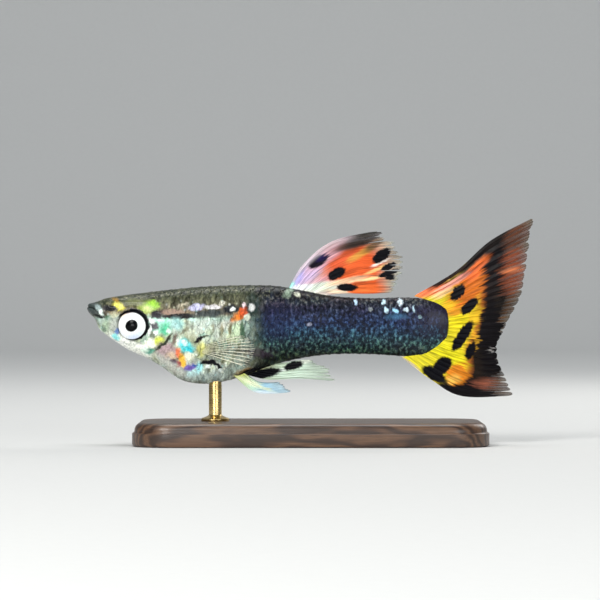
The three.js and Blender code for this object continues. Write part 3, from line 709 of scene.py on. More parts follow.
trunkPatches = [
    # stripe along the side and the pale row above it
    (7.2, 1.05, 1.15, 0.26, 3, 0.5, 0.9, (0.34, 0.23, 0.18)),
    (5.98, 0.94, 0.5, 0.34, 4, 0.4, 1.0, (0.004, 0.001, 0.007)),
    (7.75, 0.74, 1.5, 0.23, 1, 0.25, 1.0, (0.004, 0.002, 0.003)),
    (10.5, 0.98, 1.45, 0.3, 4, 0.5, 0.9, (0.03, 0.045, 0.05)),
    (12.25, 1.36, 0.7, 0.36, 8, 0.35, 0.95, (0.006, 0.01, 0.018)),
    (9.35, 1.52, 0.6, 0.3, 8, 0.4, 0.95, (0.5, 0.5, 0.74)),
    (10.75, 1.52, 0.72, 0.2, 2, 0.35, 0.95, (0.66, 0.64, 0.66)),
    (11.5, 1.82, 0.24, 0.2, 30, 0.35, 0.9, (0.7, 0.68, 0.58)),
    (8.2, 1.75, 0.42, 0.14, 12, 0.5, 0.8, (0.5, 0.46, 0.34)),
    (9.05, 0.45, 0.24, 0.2, 0, 0.5, 0.9, (0.5, 0.75, 0.68)),
    (12.4, 1.36, 0.2, 0.2, 0, 0.3, 1.0, white),
    (13.0, 0.82, 0.95, 0.34, 38, 0.35, 1.0, (0.55, 0.16, 0.02)),
    (13.35, 1.15, 0.5, 0.34, 50, 0.35, 1.0, (0.62, 0.09, 0.02)),
    (13.35, 1.72, 0.16, 0.27, 0, 0.35, 0.95, (0.85, 0.68, 0.72)),
    (13.65, 0.68, 0.28, 0.26, 35, 0.35, 0.95, (0.74, 0.78, 0.64)),
    (14.02, 1.45, 0.52, 0.56, 0, 0.35, 0.95, (0.005, 0.01, 0.02)),
    (14.02, 1.52, 0.27, 0.36, -8, 0.35, 1.0, (1.0, 1.0, 1.0)),
    # silver flank
    (7.7, 0.1, 0.55, 0.5, 0, 0.6, 0.9, (0.34, 0.62, 0.6)),
    (9.9, 0.05, 1.1, 0.4, 0, 0.6, 0.6, (0.6, 0.68, 0.62)),
    (11.9, -0.05, 0.8, 0.4, 10, 0.6, 0.6, (0.56, 0.56, 0.48)),
    (8.9, -0.75, 0.5, 0.4, 0, 0.6, 0.8, (0.62, 0.66, 0.5)),
    (12.75, -0.5, 0.36, 0.8, 8, 0.5, 0.85, (0.5, 0.64, 0.42)),
    (13.25, -0.4, 0.16, 0.95, 4, 0.5, 0.9, (0.03, 0.09, 0.04)),
    (12.2, -0.3, 0.13, 0.5, -6, 0.5, 0.85, (0.12, 0.11, 0.03)),
    (11.5, -0.35, 0.12, 0.55, -4, 0.6, 0.8, (0.16, 0.13, 0.05)),
    (10.75, -0.2, 0.1, 0.5, 5, 0.6, 0.7, (0.2, 0.19, 0.1)),
    (9.0, -0.1, 0.1, 0.5, -8, 0.6, 0.7, (0.16, 0.18, 0.12)),
    (8.35, -0.5, 0.5, 0.13, 40, 0.6, 0.7, (0.16, 0.14, 0.08)),
    (9.0, -1.2, 0.35, 0.5, 20, 0.6, 0.6, (0.24, 0.24, 0.12)),
    (9.55, -1.22, 0.5, 0.16, 34, 0.35, 1.0, black),
    (10.1, -0.95, 0.3, 0.1, 15, 0.5, 0.8, (0.05, 0.05, 0.02)),
    (9.8, -2.0, 0.4, 0.6, 0, 0.45, 0.95, (0.52, 0.52, 0.16)),
    (10.35, -3.12, 0.72, 0.22, 6, 0.3, 1.0, black),
    (11.15, -3.42, 0.6, 0.15, -38, 0.35, 1.0, (0.006, 0.008, 0.01)),
    (10.35, -3.48, 0.34, 0.15, 10, 0.4, 0.95, (0.85, 0.95, 0.9)),
    (11.4, -3.78, 0.22, 0.18, 0, 0.4, 0.9, (0.75, 0.85, 0.82)),
    (10.9, -3.95, 0.3, 0.15, -30, 0.5, 0.7, (0.6, 0.72, 0.7)),
    # painted shade: the underside of the belly darker
    (10.3, -4.5, 1.6, 0.45, 0, 0.7, 0.6, (0.3, 0.4, 0.4)),
    (13.3, -3.95, 0.7, 0.25, 20, 0.6, 0.8, (0.3, 0.16, 0.03)),
    (14.2, -2.3, 1.4, 0.4, -5, 0.7, 0.8, (0.045, 0.022, 0.045)),
    (14.3, 0.2, 0.7, 2.2, 6, 0.7, 0.55, (0.02, 0.05, 0.03)),
    (14.3, -3.9, 1.3, 0.3, 14, 0.35, 1.0, black),
]
rearPatches = [
    # painted shadow of the dorsal fin: a black band on the back under its root
    (19.6, 2.78, 2.5, 0.26, -10, 0.4, 1.0, (0.002, 0.002, 0.003)),
    (17.1, 2.75, 0.3, 0.5, -42, 0.5, 0.8, (0.3, 0.4, 0.3)),
    (16.2, 0.3, 1.6, 1.5, 0, 0.7, 0.35, (0.006, 0.012, 0.06)),
    (17.9, 2.55, 0.27, 0.18, -20, 0.35, 0.95, (0.6, 0.62, 0.5)),
    (18.9, 0.08, 0.2, 0.13, 0, 0.4, 0.8, (0.3, 0.32, 0.42)),
    # painted glints: small bluish-white highlights on the dark rear
    (22.85, 1.95, 0.12, 0.27, 0, 0.5, 1.0, (0.5, 0.7, 0.95)),
    (24.1, 1.38, 0.17, 0.16, 0, 0.4, 0.7, (0.4, 0.45, 0.48)),
    (25.2, 1.98, 0.15, 0.22, -10, 0.5, 1.0, (0.62, 0.85, 1.0)),
    (25.4, 1.28, 0.15, 0.24, 20, 0.5, 1.0, (0.55, 0.78, 0.95)),
    (26.2, 1.18, 0.2, 0.26, 40, 0.5, 1.0, (0.36, 0.68, 0.98)),
    (26.62, 1.98, 0.2, 0.27, 0, 0.5, 1.0, (0.75, 0.9, 1.0)),
    (27.1, 1.3, 0.2, 0.2, 30, 0.5, 1.0, (0.66, 0.82, 0.95)),
    (27.75, 1.35, 0.12, 0.28, 8, 0.5, 1.0, (0.6, 0.85, 1.0)),
    (28.25, 0.72, 0.16, 0.16, 0, 0.4, 0.9, (0.45, 0.7, 0.8)),
    (26.3, 0.72, 0.8, 0.22, 0, 0.7, 0.6, (0.05, 0.16, 0.3)),
    (28.9, 0.7, 1.2, 1.5, 0, 0.7, 0.6, (0.018, 0.014, 0.03)),
    (30.3, 0.1, 0.4, 1.6, 0, 0.6, 0.9, (0.012, 0.01, 0.022)),
]


def flankColour(tree, warped, up):
    colour = ramp(tree, split(tree, warped)[1], bodyLook["flank"], *bodyLook["flankSpan"])
    colour = mottled(tree, colour, warped, bodyLook["streaks"])
    look = bodyLook["pearl"]
    cells = cellValues(tree, scaled(tree, warped, *look["stretch"]), look["scale"])
    tints = ramp(tree, cells[0], look["stops"])
    mask = times(tree, ranged(tree, up, *look["below"]), ranged(tree, up, *look["above"]))
    return mixed(tree, times(tree, mask, look["strength"]), colour, tints)


def backColour(tree, colour, place):
    fromBack = attributeOf(tree, "fromBack")
    look = bodyLook["crown"]
    mottle = noiseOf(tree, scaled(tree, place, *look["stretch"]), *look["noise"])
    mask = times(tree, ranged(tree, fromBack, *look["depth"]), look["strength"])
    colour = mixed(tree, mask, colour, ramp(tree, mottle, look["stops"]))
    # painted glints on the scales of the dark back
    look = bodyLook["paintedGlints"]
    stretched = scaled(tree, place, *look["stretch"])
    cells = cellValues(tree, stretched, 1.0)
    middle = cellsOf(tree, stretched, 1.0, "Distance")
    dot = times(tree, ranged(tree, middle, *look["size"]), ranged(tree, cells[0], *look["share"]))
    dot = times(tree, dot, ranged(tree, fromBack, *look["depth"]))
    colour = mixed(tree, times(tree, dot, look["strength"]), colour, ramp(tree, cells[1], look["stops"]))
    gap = times(tree, ranged(tree, cells[2], *look["gapShare"]), ranged(tree, middle, *look["gapSize"]))
    return mixed(tree, times(tree, gap, look["gapStrength"]), colour, look["gap"])


def rearColour(tree, place, warped):
    colour = ramp(tree, split(tree, warped)[1], bodyLook["rear"], *bodyLook["rearSpan"])
    colour = mottled(tree, colour, place, bodyLook["flecks"])
    return mottled(tree, colour, place, bodyLook["clouds"])


# Colour of the fish's skin at a place, painted shade and light included, shared by skin and scales
def bodyMarkingsAndPaintedLight():
    tree = bpy.data.node_groups.new("guppyMarkingsAndPaintedLight", "ShaderNodeTree")
    for name, kind in (("Colour", "Color"), ("Rear", "Float"), ("Place", "Vector")):
        tree.interface.new_socket(name, in_out="OUTPUT", socket_type=f"NodeSocket{kind}")
    place = fishPlace(tree)
    at, up, _ = split(tree, place)
    warped = shifted(tree, place, *bodyLook["warp"])
    front = backColour(tree, flankColour(tree, warped, up), place)
    rear = rearColour(tree, place, warped)
    uneven = push(tree, noiseOf(tree, place, *bodyLook["rearNoise"]), bodyLook["rearEdge"])
    reach = maths(tree, "ADD", at, uneven)
    isRear = ranged(tree, reach, bodyLook["rearFrom"], bodyLook["rearFull"])
    colour = mixed(tree, isRear, front, rear)
    bent = shifted(tree, place, *bodyLook["patchWarp"])
    for patches in (headPatches, trunkPatches, rearPatches):
        colour = painted(tree, bent, colour, patches)
    colour = mottled(tree, colour, place, bodyLook["grain"])
    colour = mottled(tree, colour, place, bodyLook["speckle"])
    out = tree.nodes.new("NodeGroupOutput")
    for name, value in (("Colour", colour), ("Rear", isRear), ("Place", place)):
        feed(tree, out.inputs[name], value)
    return tree


markingsAndPaintedLight = bodyMarkingsAndPaintedLight()


def useMarkingsAndPaintedLight(tree):
    node = tree.nodes.new("ShaderNodeGroup")
    node.node_tree = markingsAndPaintedLight
    return node.outputs


# Skin: one closed surface from the snout to the end of the tail stalk
skinMesh = {"rings": 330, "sides": 190}
skinLook = {
    "fine": (11.0, 3.0), "fineBump": (0.25, 0.00003),
    "pores": 7.0, "poreBump": (0.2, 0.00004),
    "rough": (0.24, 0.42),
    "gloss": {"Coat Weight": 0.12, "Coat Roughness": 0.15, "Specular IOR Level": 0.16},
}


def skinMaterial():
    material, tree = newMaterial("guppySkin")
    marks = useMarkingsAndPaintedLight(tree)
    fine = noiseOf(tree, marks["Place"], *skinLook["fine"])
    pores = cellsOf(tree, marks["Place"], skinLook["pores"], "Distance")
    normal = bumpOf(tree, pores, *skinLook["poreBump"], bumpOf(tree, fine, *skinLook["fineBump"]))
    rough = roughOf(tree, fine, *skinLook["rough"])
    shader(tree, marks["Colour"], {"Roughness": rough, "Normal": normal, **skinLook["gloss"]})
    return material


def buildSkin():
    rings, sides = skinMesh["rings"], skinMesh["sides"]
    places = ringPlace((np.arange(rings) + 0.5) / rings)
    at, girth = np.meshgrid(places, np.arange(sides) / sides, indexing="ij")
    points = skinPoint(at, girth)
    flat = np.concatenate([points.reshape(-1, 3), [points[0].mean(0)], [points[-1].mean(0)]])
    fromBack = heightFromBack(flat[:, 0], flat[:, 2])
    return meshPiece("guppy_skin", toFrame(flat), pointedFaces(rings, sides), fromBack=fromBack)


skin = finish(buildSkin(), "skin_silver", skinMaterial(),
              "head", "lower_jaw", "trunk", "tail_stalk", "gill_cover_left", "gill_cover_right")
print("skin", len(skin.data.polygons))

# Scales: thin rounded plates in rows, each with its root under the scales in front
scales = {
    "from": 4.7, "to": 28.8, "spacing": 0.42,  # between columns, half the distance along a row
    "around": 16,  # scales in one column, all round the body
    "length": 1.34, "breadth": 0.6,  # breadth as a share of the distance between rows, to each side
    "lengthSpread": 0.1, "breadthSpread": 0.08, "turn": 0.06, "riseSpread": 0.4,  # single scales differ
    "smallest": 0.72, "smallestAt": 30.6, "shrinkOver": 3.5,  # they shrink towards the tail's end
    "lastEdge": 30.35,
    "ahead": 0.35,  # share of its length that lies in front of its place
    "widest": 0.4, "rootWidth": 0.72, "tipWidth": 0.05, "tipPower": 2.4,  # outline
    "rootDepth": 0.05, "edgeHeight": 0.036, "thick": 0.02, "risePower": 1.4, "camber": 0.012,
    "steps": 8,  # squares along and across one scale
    "splitAt": 16.4,  # between the front and the rear piece
    "patch": 0.003,  # size of a scale on the flat map of the skin
    # No scales grow on the snout, the sides of the head and the gill covers. The first are on the
    # crown. They start further back on the side, and a little more on the belly. Girth is 0 at the
    # middle of the back and 0.5 at the middle of the belly.
    "sideStart": 3.9, "sideGirth": (0.07, 0.2), "bellyStart": 0.5, "bellyGirth": (0.36, 0.5),
    "fromCover": 0.28,
}
scaleLook = {
    "paintedSheen": (0.05, 0.08, 0.14), "paintedSheenRim": (0.2, 0.85), "paintedSheenStrength": 0.16,  # painted sheen in the middle of each scale, on the dark rear
    "edge": (0.28, 0.28, 0.26), "edgeRim": (0.6, 1.0), "edgeStrength": 0.42,
    "darkest": 0.86, "tones": 0.34,
    "growthLines": 3.2, "growthCurve": 0.12, "growthBump": (0.16, 0.00002), "rimPower": 1.5,
    "gloss": {"Roughness": 0.32, "Coat Weight": 0.07, "Coat Roughness": 0.18, "Specular IOR Level": 0.14},
}


def scaleMaterial():
    material, tree = newMaterial("guppyScales")
    marks = useMarkingsAndPaintedLight(tree)
    rim, tone = attributeOf(tree, "rim"), attributeOf(tree, "tone")
    # painted sheen: the middle of each scale brighter on the dark rear
    centre = ranged(tree, rim, *scaleLook["paintedSheenRim"], 1.0, 0.0)
    paintedSheen = times(tree, times(tree, times(tree, centre, tone), marks["Rear"]), scaleLook["paintedSheenStrength"])
    colour = mixed(tree, paintedSheen, marks["Colour"], scaleLook["paintedSheen"], "SCREEN")
    dark = times(tree, ranged(tree, rim, *scaleLook["edgeRim"]), scaleLook["edgeStrength"])
    colour = mixed(tree, dark, colour, mixed(tree, 1.0, colour, scaleLook["edge"], "MULTIPLY"))
    level = maths(tree, "ADD", times(tree, tone, scaleLook["tones"]), scaleLook["darkest"])
    colour = mixed(tree, 1.0, colour, joined(tree, level, level, level), "MULTIPLY")
    lines = wavesOf(tree, joined(tree, attributeOf(tree, "growth")), "X", {"Scale": scaleLook["growthLines"]})
    shader(tree, colour, {"Normal": bumpOf(tree, lines, *scaleLook["growthBump"]), **scaleLook["gloss"]})
    return material


def scaleGrows(at, girth):
    fromTop = np.abs(((girth + 0.5) % 1) - 0.5)
    start = (scales["from"] + scales["sideStart"] * smooth(*scales["sideGirth"], fromTop)
             + scales["bellyStart"] * smooth(*scales["bellyGirth"], fromTop))
    point = skinPoint(at, girth)
    return (at >= start) & (loopDistance(point[..., 0], point[..., 2], coverLoop) < -scales["fromCover"])


def scalePlaces():
    columns = int((scales["to"] - scales["from"]) / scales["spacing"])
    column, row = np.meshgrid(np.arange(columns), np.arange(scales["around"]), indexing="ij")
    at = scales["from"] + column * scales["spacing"]
    girth = (row + 0.5 * (column % 2)) / scales["around"]
    random = draw.random((4,) + at.shape)
    grows = scaleGrows(at, girth)
    return at[grows], girth[grows], random[:, grows]


# Half a scale's breadth, from its root at 0 to its tip at 1
def scaleOutline(share):
    widest, root = scales["widest"], scales["rootWidth"]
    ahead = root + (1 - root) * np.sin(share / widest * np.pi / 2)
    beyond = np.maximum(share - widest, 0) / (1 - widest)
    behind = np.sqrt(np.maximum(0, 1 - beyond ** scales["tipPower"]))
    return np.maximum(np.where(share < widest, ahead, behind), scales["tipWidth"])


def spread(amount, random):
    return 1 - amount / 2 + amount * random


# Points of the outer and inner side of every scale, and their places on the flat map
def scalePoints(u, v, at0, girth0, longer, broader, turn):
    wide = v * scaleOutline(u)
    shrink = smooth(0, scales["shrinkOver"], scales["smallestAt"] - at0)
    size = scales["smallest"] + (1 - scales["smallest"]) * shrink
    back = (u - scales["ahead"]) * scales["length"] * size * spread(scales["lengthSpread"], longer)
    at = np.minimum(at0 + back + scales["turn"] * (turn - 0.5) * v, scales["lastEdge"])
    girth = girth0 + wide * scales["breadth"] / scales["around"] * spread(scales["breadthSpread"], broader)
    rise = scales["rootDepth"] + scales["edgeHeight"] * spread(scales["riseSpread"], turn)
    lift = rise * u ** scales["risePower"] - scales["rootDepth"] - scales["camber"] * wide**2
    outer, inner = skinPoint(at, girth, lift), skinPoint(at, girth, lift - scales["thick"])
    flatMap = np.stack([at0 / fish["length"] + (u - scales["ahead"]) * scales["patch"],
                        girth0 % 1 + v * 0.5 * scales["patch"]], -1)
    return np.stack([outer, inner], 1), np.stack([flatMap, flatMap], 1)


def buildScales(material):
    steps = scales["steps"] + 1
    u, v = np.meshgrid(np.linspace(0, 1, steps), np.linspace(-1, 1, steps), indexing="ij")
    at0, girth0, (longer, broader, tone, turn) = scalePlaces()
    points, maps = scalePoints(u, v, *(a[:, None, None] for a in (at0, girth0, longer, broader, turn)))
    template = np.array(plateFaces(steps, steps))
    rim = np.maximum(np.abs(v), u**2) ** scaleLook["rimPower"]
    growth = u + scaleLook["growthCurve"] * v**2
    each = 2 * steps * steps
    for name, slotName in (("front", "skin_silver"), ("rear", "skin_dark")):
        part = (at0 < scales["splitAt"]) == (name == "front")
        count = int(part.sum())
        flat = points[part].reshape(-1, 3)
        faces = (template + each * np.arange(count)[:, None, None]).reshape(-1, 4).tolist()
        piece = meshPiece(f"guppy_scales_{name}", toFrame(flat), faces, uv=maps[part].reshape(-1, 2),
                          fromBack=heightFromBack(flat[:, 0], flat[:, 2]), tone=np.repeat(tone[part], each),
                          rim=np.tile(rim.ravel(), 2 * count), growth=np.tile(growth.ravel(), 2 * count))
        finish(piece, slotName, material)
        print("scales", name, count, "triangles", 2 * len(faces))


buildScales(scaleMaterial())

# Eyes
eyeLook = {
    "fibres": (2.2, 3.0), "spokes": 7.0, "rings": 1.2,
    "iris": [(0.3, (0.66, 0.69, 0.7)), (0.55, (0.87, 0.89, 0.88)), (0.75, (0.97, 0.97, 0.95))],
    "irisPatches": [
        (4.05, -1.05, 0.6, 0.3, 10, 0.7, 0.6, (0.5, 0.62, 0.82)),
        (3.0, -0.8, 0.35, 0.25, -40, 0.8, 0.4, (0.6, 0.66, 0.72)),
        (4.55, -0.62, 0.28, 0.3, 40, 0.8, 0.35, (0.62, 0.8, 0.82)),
        (3.15, 0.98, 0.5, 0.16, 35, 0.7, 0.7, (0.7, 0.42, 0.1)),
        (3.5, 1.14, 0.9, 0.16, 12, 0.5, 0.9, (0.16, 0.02, 0.01)),
    ],
    "ring": (0.006, 0.006, 0.008),
    "ringMiddle": (-0.045, -0.03), "ringStretch": 1.07, "ringEdge": (1.18, 1.23),
    "pupil": (0.001, 0.001, 0.0015),
    "pupilOval": (3.88, -0.04, 0.54, 0.5, 35, 0.05),  # at, up, half length, half height, tilt, softness
    "pupilWarp": (0.09, 3.0),
    "bump": (0.12, 0.00003),
    "gloss": {"Roughness": 0.3, "Coat Weight": 0.14, "Coat Roughness": 0.03, "Specular IOR Level": 0.05},
}


def eyeMaterial():
    material, tree = newMaterial("guppyEye")
    place = fishPlace(tree)
    offAt, offUp = eyeLook["ringMiddle"]
    local = vectorMaths(tree, "SUBTRACT", place, (eye["at"] + offAt, eye["up"] + offUp, 0.0))
    radius = vectorMaths(tree, "LENGTH", scaled(tree, local, 1.0, eyeLook["ringStretch"], 0.0))
    x, y, _ = split(tree, local)
    angle = times(tree, maths(tree, "ARCTAN2", y, x), eyeLook["spokes"])
    fibres = noiseOf(tree, joined(tree, angle, times(tree, radius, eyeLook["rings"])), *eyeLook["fibres"])
    colour = painted(tree, place, ramp(tree, fibres, eyeLook["iris"]), eyeLook["irisPatches"])
    colour = mixed(tree, ranged(tree, radius, *eyeLook["ringEdge"]), colour, eyeLook["ring"])
    bent = shifted(tree, place, *eyeLook["pupilWarp"])
    colour = mixed(tree, patchMask(tree, bent, *eyeLook["pupilOval"]), colour, eyeLook["pupil"])
    shader(tree, colour, {"Normal": bumpOf(tree, fibres, *eyeLook["bump"]), **eyeLook["gloss"]})
    return material


# The ball's outline from the middle of the pupil to the back: radius and depth behind the front
def eyeOutline():
    radius, pupil, dome, lens = (eye[key] for key in ("radius", "pupil", "dome", "lens"))
    outline = []
    for r in np.linspace(0, radius, eye["frontSteps"] + 1):
        raised = lens * math.sqrt(1 - (r / pupil) ** 2) if r < pupil else 0.0
        outline.append((r, dome - math.sqrt(dome * dome - r * r) + lens - raised))
    edge = outline[-1][1]
    for angle in np.linspace(0, math.pi / 2, eye["backSteps"] + 1)[1:]:
        outline.append((radius * math.cos(angle) + eye["edgeBulge"] * math.sin(2 * angle),
                        edge + eye["depth"] * math.sin(angle)))
    return outline


def buildEye(name, side):
    outline = eyeOutline()
    count = eye["segments"]
    turn = np.arange(count) / count * 2 * np.pi
    rings = [np.stack([r * np.cos(turn), np.full(count, -depth), r * np.sin(turn)], -1)
             for r, depth in outline[1:-1]]
    ends = [[[0, -outline[i][1], 0]] for i in (0, -1)]
    x, y, z = np.concatenate(rings + ends).T
    c, s = math.cos(eye["lean"]), math.sin(eye["lean"])
    front = halfWidthAt(eye["at"], eye["up"]) + eye["proud"]
    places = np.stack([eye["at"] + x * c - y * s, side * (front + y * c + x * s), eye["up"] + z], -1)
    return meshPiece(name, toFrame(places), pointedFaces(len(rings), count))


eyeFinish = eyeMaterial()
for label, side in (("left", -1), ("right", 1)):
    finish(buildEye(f"guppy_eye_{label}", side), "eye_white", eyeFinish, f"eye_{label}")
print("eyes")

# Fins: a thin membrane over branching rays. The guides are rays from root to tip, first ray to last.
# Most values in finShape are shares: of a fin's length, of the distance between rays or of a thickness.
finShape = {
    "webThinner": 0.45, "rayThinner": 0.62,  # at the edge of the fin
    "rootSwell": 0.09,  # length of the thick root
    "rayRise": (0.04, 0.2),  # the rays rise out of the membrane between these lengths
    "edgeSpan": 0.125, "edgeLeast": 0.25,  # they sink again over the last part, down to this height
    "forks": (0.24, 0.11), "secondFork": 0.3, "forkEnd": (1.0, 1.05),  # how far the branches part
    "rayWidth": 0.17, "tipSlimmer": 0.1, "slimSpan": (-0.15, 0.95),
    "jointDepth": 0.22, "jointPower": 6, "jointRise": (0.15, 0.3),
    "smallNotch": 0.35, "tearWidth": 0.09,
    "sunk": 0.1, "cupAt": 4,  # in millimetres: root of a pectoral fin in the skin, length of its cup
}


# Smooth point of a list of points, one share for each point wanted
def rowPoint(row, share):
    last = len(row) - 1
    padded = np.concatenate([[2 * row[0] - row[1]], row, [2 * row[-1] - row[-2]]])
    i = np.clip(np.floor(share * last).astype(int), 0, last - 1)
    t = (share * last - i).reshape(share.shape + (1,) * (row.ndim - 1))
    return between(padded[i], padded[i + 1], padded[i + 2], padded[i + 3], t)


def finPlace(guides, out, across):
    rays = np.array(guides, float)  # guide, step, (at, up)
    lines = rowPoint(np.swapaxes(rays, 0, 1), out.ravel())  # one row of guides for each out
    last = len(rays) - 1
    padded = np.concatenate([2 * lines[:, :1] - lines[:, 1:2], lines, 2 * lines[:, -1:] - lines[:, -2:-1]], 1)
    i = np.clip(np.floor(across.ravel() * last).astype(int), 0, last - 1)
    t = (across.ravel() * last - i)[:, None]
    n = np.arange(len(i))
    return between(*(padded[n, i + k] for k in range(4)), t).reshape(out.shape + (2,))


# Shares across and out for every point, with a worn edge: uneven rays, notches between them and tears
def finGrid(fin):
    rays = fin["rays"]
    across = np.linspace(0, 1, rays * fin["columnsPerRay"] + 1)
    inRay = across * rays - np.clip((across * rays).astype(int), 0, rays - 1)
    random = np.random.default_rng(fin["seed"])
    rayReach = 1 - fin["uneven"] * random.random(rays)
    tears = fin["tear"] * random.random(rays + 1) ** 3
    notch = fin["notch"] * (2 * inRay - 1) ** 2
    small = finShape["smallNotch"] * fin["notch"] * np.cos(4 * np.pi * inRay) ** 2
    nearest = np.clip(np.round(across * rays).astype(int), 0, rays)
    slit = tears[nearest] * bump(across * rays - nearest, finShape["tearWidth"])
    reach = np.interp(across * rays, np.arange(rays) + 0.5, rayReach) - notch - small - slit
    rows = np.linspace(0, 1, fin["rows"] + 1)[:, None]
    return across[None, :] + 0 * rows, rows * reach[None, :]


# How far the rays stand out of the membrane, from 0 to 1: each splits in two, and in two again
def rayRidge(fin, out, across):
    branch = fin["branch"]
    phase = (across * fin["rays"]) % 1 - 0.5
    starts = (branch, branch + finShape["secondFork"])
    first, second = (width * smooth(start, end, out) for width, start, end
                     in zip(finShape["forks"], starts, finShape["forkEnd"]))
    slimFrom, slimTo = finShape["slimSpan"]
    slim = finShape["rayWidth"] - finShape["tipSlimmer"] * smooth(branch + slimFrom, slimTo, out)
    ridge = np.zeros(out.shape)
    for a in (-first, first):
        for b in (-second, second):
            ridge = np.maximum(ridge, bump(phase - a - b, slim))
    joints = (0.5 + 0.5 * np.cos(out * fin["joints"] * 2 * np.pi)) ** finShape["jointPower"]
    return ridge * (1 - finShape["jointDepth"] * joints * smooth(*finShape["jointRise"], out))


# A paired fin turned about its root and moved to its side of the body
def besideBody(points, fin, side):
    at0, up0 = fin["guides"][1][0]
    roll, swing = side * fin.get("roll", 0), side * fin["swing"]
    x, y, z = (points - [at0, 0, up0]).T
    y = y + side * fin.get("cup", 0.0) * (x / finShape["cupAt"]) ** 2
    y, z = y * math.cos(roll) - z * math.sin(roll), y * math.sin(roll) + z * math.cos(roll)
    x, y = x * math.cos(swing) - y * math.sin(swing), x * math.sin(swing) + y * math.cos(swing)
    root = fin["side"] if "side" in fin else halfWidthAt(at0, up0) - finShape["sunk"]
    return np.stack([x + at0, y + side * root, z + up0], -1)


def buildFin(name, fin, side):
    across, out = finGrid(fin)
    spots = finPlace(fin["guides"], out, across)
    ridge = rayRidge(fin, out, across)
    middle = fin["ripple"] * out * np.sin(across * fin["rays"] * 2 * np.pi)
    if "sway" in fin:
        middle = middle + fin["sway"](out, across)
    web = fin["web"] * (1 - finShape["webThinner"] * out)
    swell = (fin["rootThick"] - web) * bump(out, finShape["rootSwell"])
    fade = np.clip(np.linspace(1, 0, len(out))[:, None] / finShape["edgeSpan"], finShape["edgeLeast"], 1)
    raised = fin["ray"] * (1 - finShape["rayThinner"] * out) * smooth(*finShape["rayRise"], out)
    half = (web + swell + raised * ridge * fade) / 2
    faces = [np.stack([spots[..., 0], middle + facing * half, spots[..., 1]], -1) for facing in (-1, 1)]
    points = np.concatenate(faces).reshape(-1, 3)
    if side:
        points = besideBody(points, fin, side)
    ray = np.stack([across * fin["rays"], out, ridge], -1).reshape(-1, 3)
    return meshPiece(name, toFrame(points), plateFaces(*out.shape), ray=np.concatenate([ray, ray]))


tailFin = {
    "guides": [
        [(26.7, -2.72), (29.3, -4.68), (31.9, -6.04), (36.5, -6.0)],
        [(28.6, -2.38), (31.0, -3.49), (33.4, -4.25), (35.6, -4.42)],
        [(29.7, -1.53), (31.5, -2.13), (33.2, -2.38), (34.9, -2.3)],
        [(30.3, -0.34), (32.0, -0.43), (33.8, -0.43), (35.5, -0.43)],
        [(30.3, 0.85), (32.4, 1.36), (34.6, 1.87), (36.9, 2.38)],
        [(29.5, 1.87), (32.0, 2.98), (34.7, 4.34), (37.4, 5.36)],
        [(27.8, 2.47), (31.4, 4.63), (34.3, 7.18), (38.0, 9.18)],
    ],
    "rays": 24, "columnsPerRay": 12, "rows": 64, "branch": 0.3, "joints": 34, "seed": 5,
    "web": 0.07, "ray": 0.2, "rootThick": 0.34, "notch": 0.018, "uneven": 0.02, "tear": 0.08, "ripple": 0.05,
    "sway": lambda out, across: out**2 * (0.75 * np.sin(1.9 * np.pi * across - 0.5) + 0.35 * across),
}
dorsalFin = {
    "guides": [
        [(17.0, 2.9), (18.4, 5.19), (20.9, 7.14), (25.1, 8.12)],
        [(17.6, 2.8), (19.6, 4.85), (22.4, 6.29), (26.6, 6.89)],
        [(18.4, 2.7), (20.5, 4.25), (23.2, 5.36), (27.2, 5.61)],
        [(19.1, 2.6), (21.2, 3.49), (23.6, 4.08), (26.8, 4.17)],
        [(20.0, 2.5), (21.8, 2.68), (23.9, 2.66), (26.1, 2.76)],
    ],
    "rays": 12, "columnsPerRay": 14, "rows": 56, "branch": 0.35, "joints": 26, "seed": 8,
    "web": 0.07, "ray": 0.18, "rootThick": 0.45, "notch": 0.045, "uneven": 0.05, "tear": 0.16, "ripple": 0.04,
    "sway": lambda out, across: 0.3 * out**2 * np.sin(1.7 * np.pi * across),
}
analFin = {
    "guides": [
        [(13.1, -4.1), (15.4, -4.63), (18.1, -4.55), (21.3, -4.8)],
        [(14.0, -3.7), (16.4, -3.95), (18.7, -3.75), (20.7, -3.74)],
        [(15.2, -3.1), (16.6, -3.2), (17.8, -3.0), (19.0, -2.92)],
    ],
    "rays": 7, "columnsPerRay": 14, "rows": 48, "branch": 0.55, "joints": 22, "seed": 11,
    "web": 0.07, "ray": 0.2, "rootThick": 0.45, "notch": 0.05, "uneven": 0.08, "tear": 0.2, "ripple": 0.03,
}
pelvicFin = {
    "guides": [
        [(12.5, -4.3), (14.1, -5.6), (15.7, -5.82), (17.75, -5.65)],
        [(12.9, -4.3), (14.3, -5.25), (15.6, -5.44), (17.0, -5.35)],
        [(13.4, -4.1), (14.5, -4.8), (15.5, -4.93), (16.5, -4.85)],
    ],
    "rays": 6, "columnsPerRay": 12, "rows": 36, "branch": 0.5, "joints": 16, "seed": 13,
    "web": 0.06, "ray": 0.14, "rootThick": 0.36, "notch": 0.04, "uneven": 0.05, "tear": 0.1, "ripple": 0.03,
    "side": 0.85, "roll": 0.2, "swing": 0.1,
}
pectoralFin = {
    "guides": [
        [(9.9, -1.7), (11.1, -1.36), (12.2, -1.02), (13.5, -0.77)],
        [(9.9, -1.91), (11.4, -1.79), (12.8, -1.62), (14.4, -1.53)],
        [(9.9, -2.13), (11.5, -2.25), (12.8, -2.38), (14.4, -2.55)],
        [(9.9, -2.35), (11.2, -2.81), (12.4, -3.23), (13.7, -3.66)],
    ],
    "rays": 9, "columnsPerRay": 14, "rows": 40, "branch": 0.7, "joints": 18, "seed": 17,
    "web": 0.04, "ray": 0.07, "rootThick": 0.3, "notch": 0.03, "uneven": 0.04, "tear": 0.06, "ripple": 0.03,
    "swing": 0.3, "cup": -0.25,
}

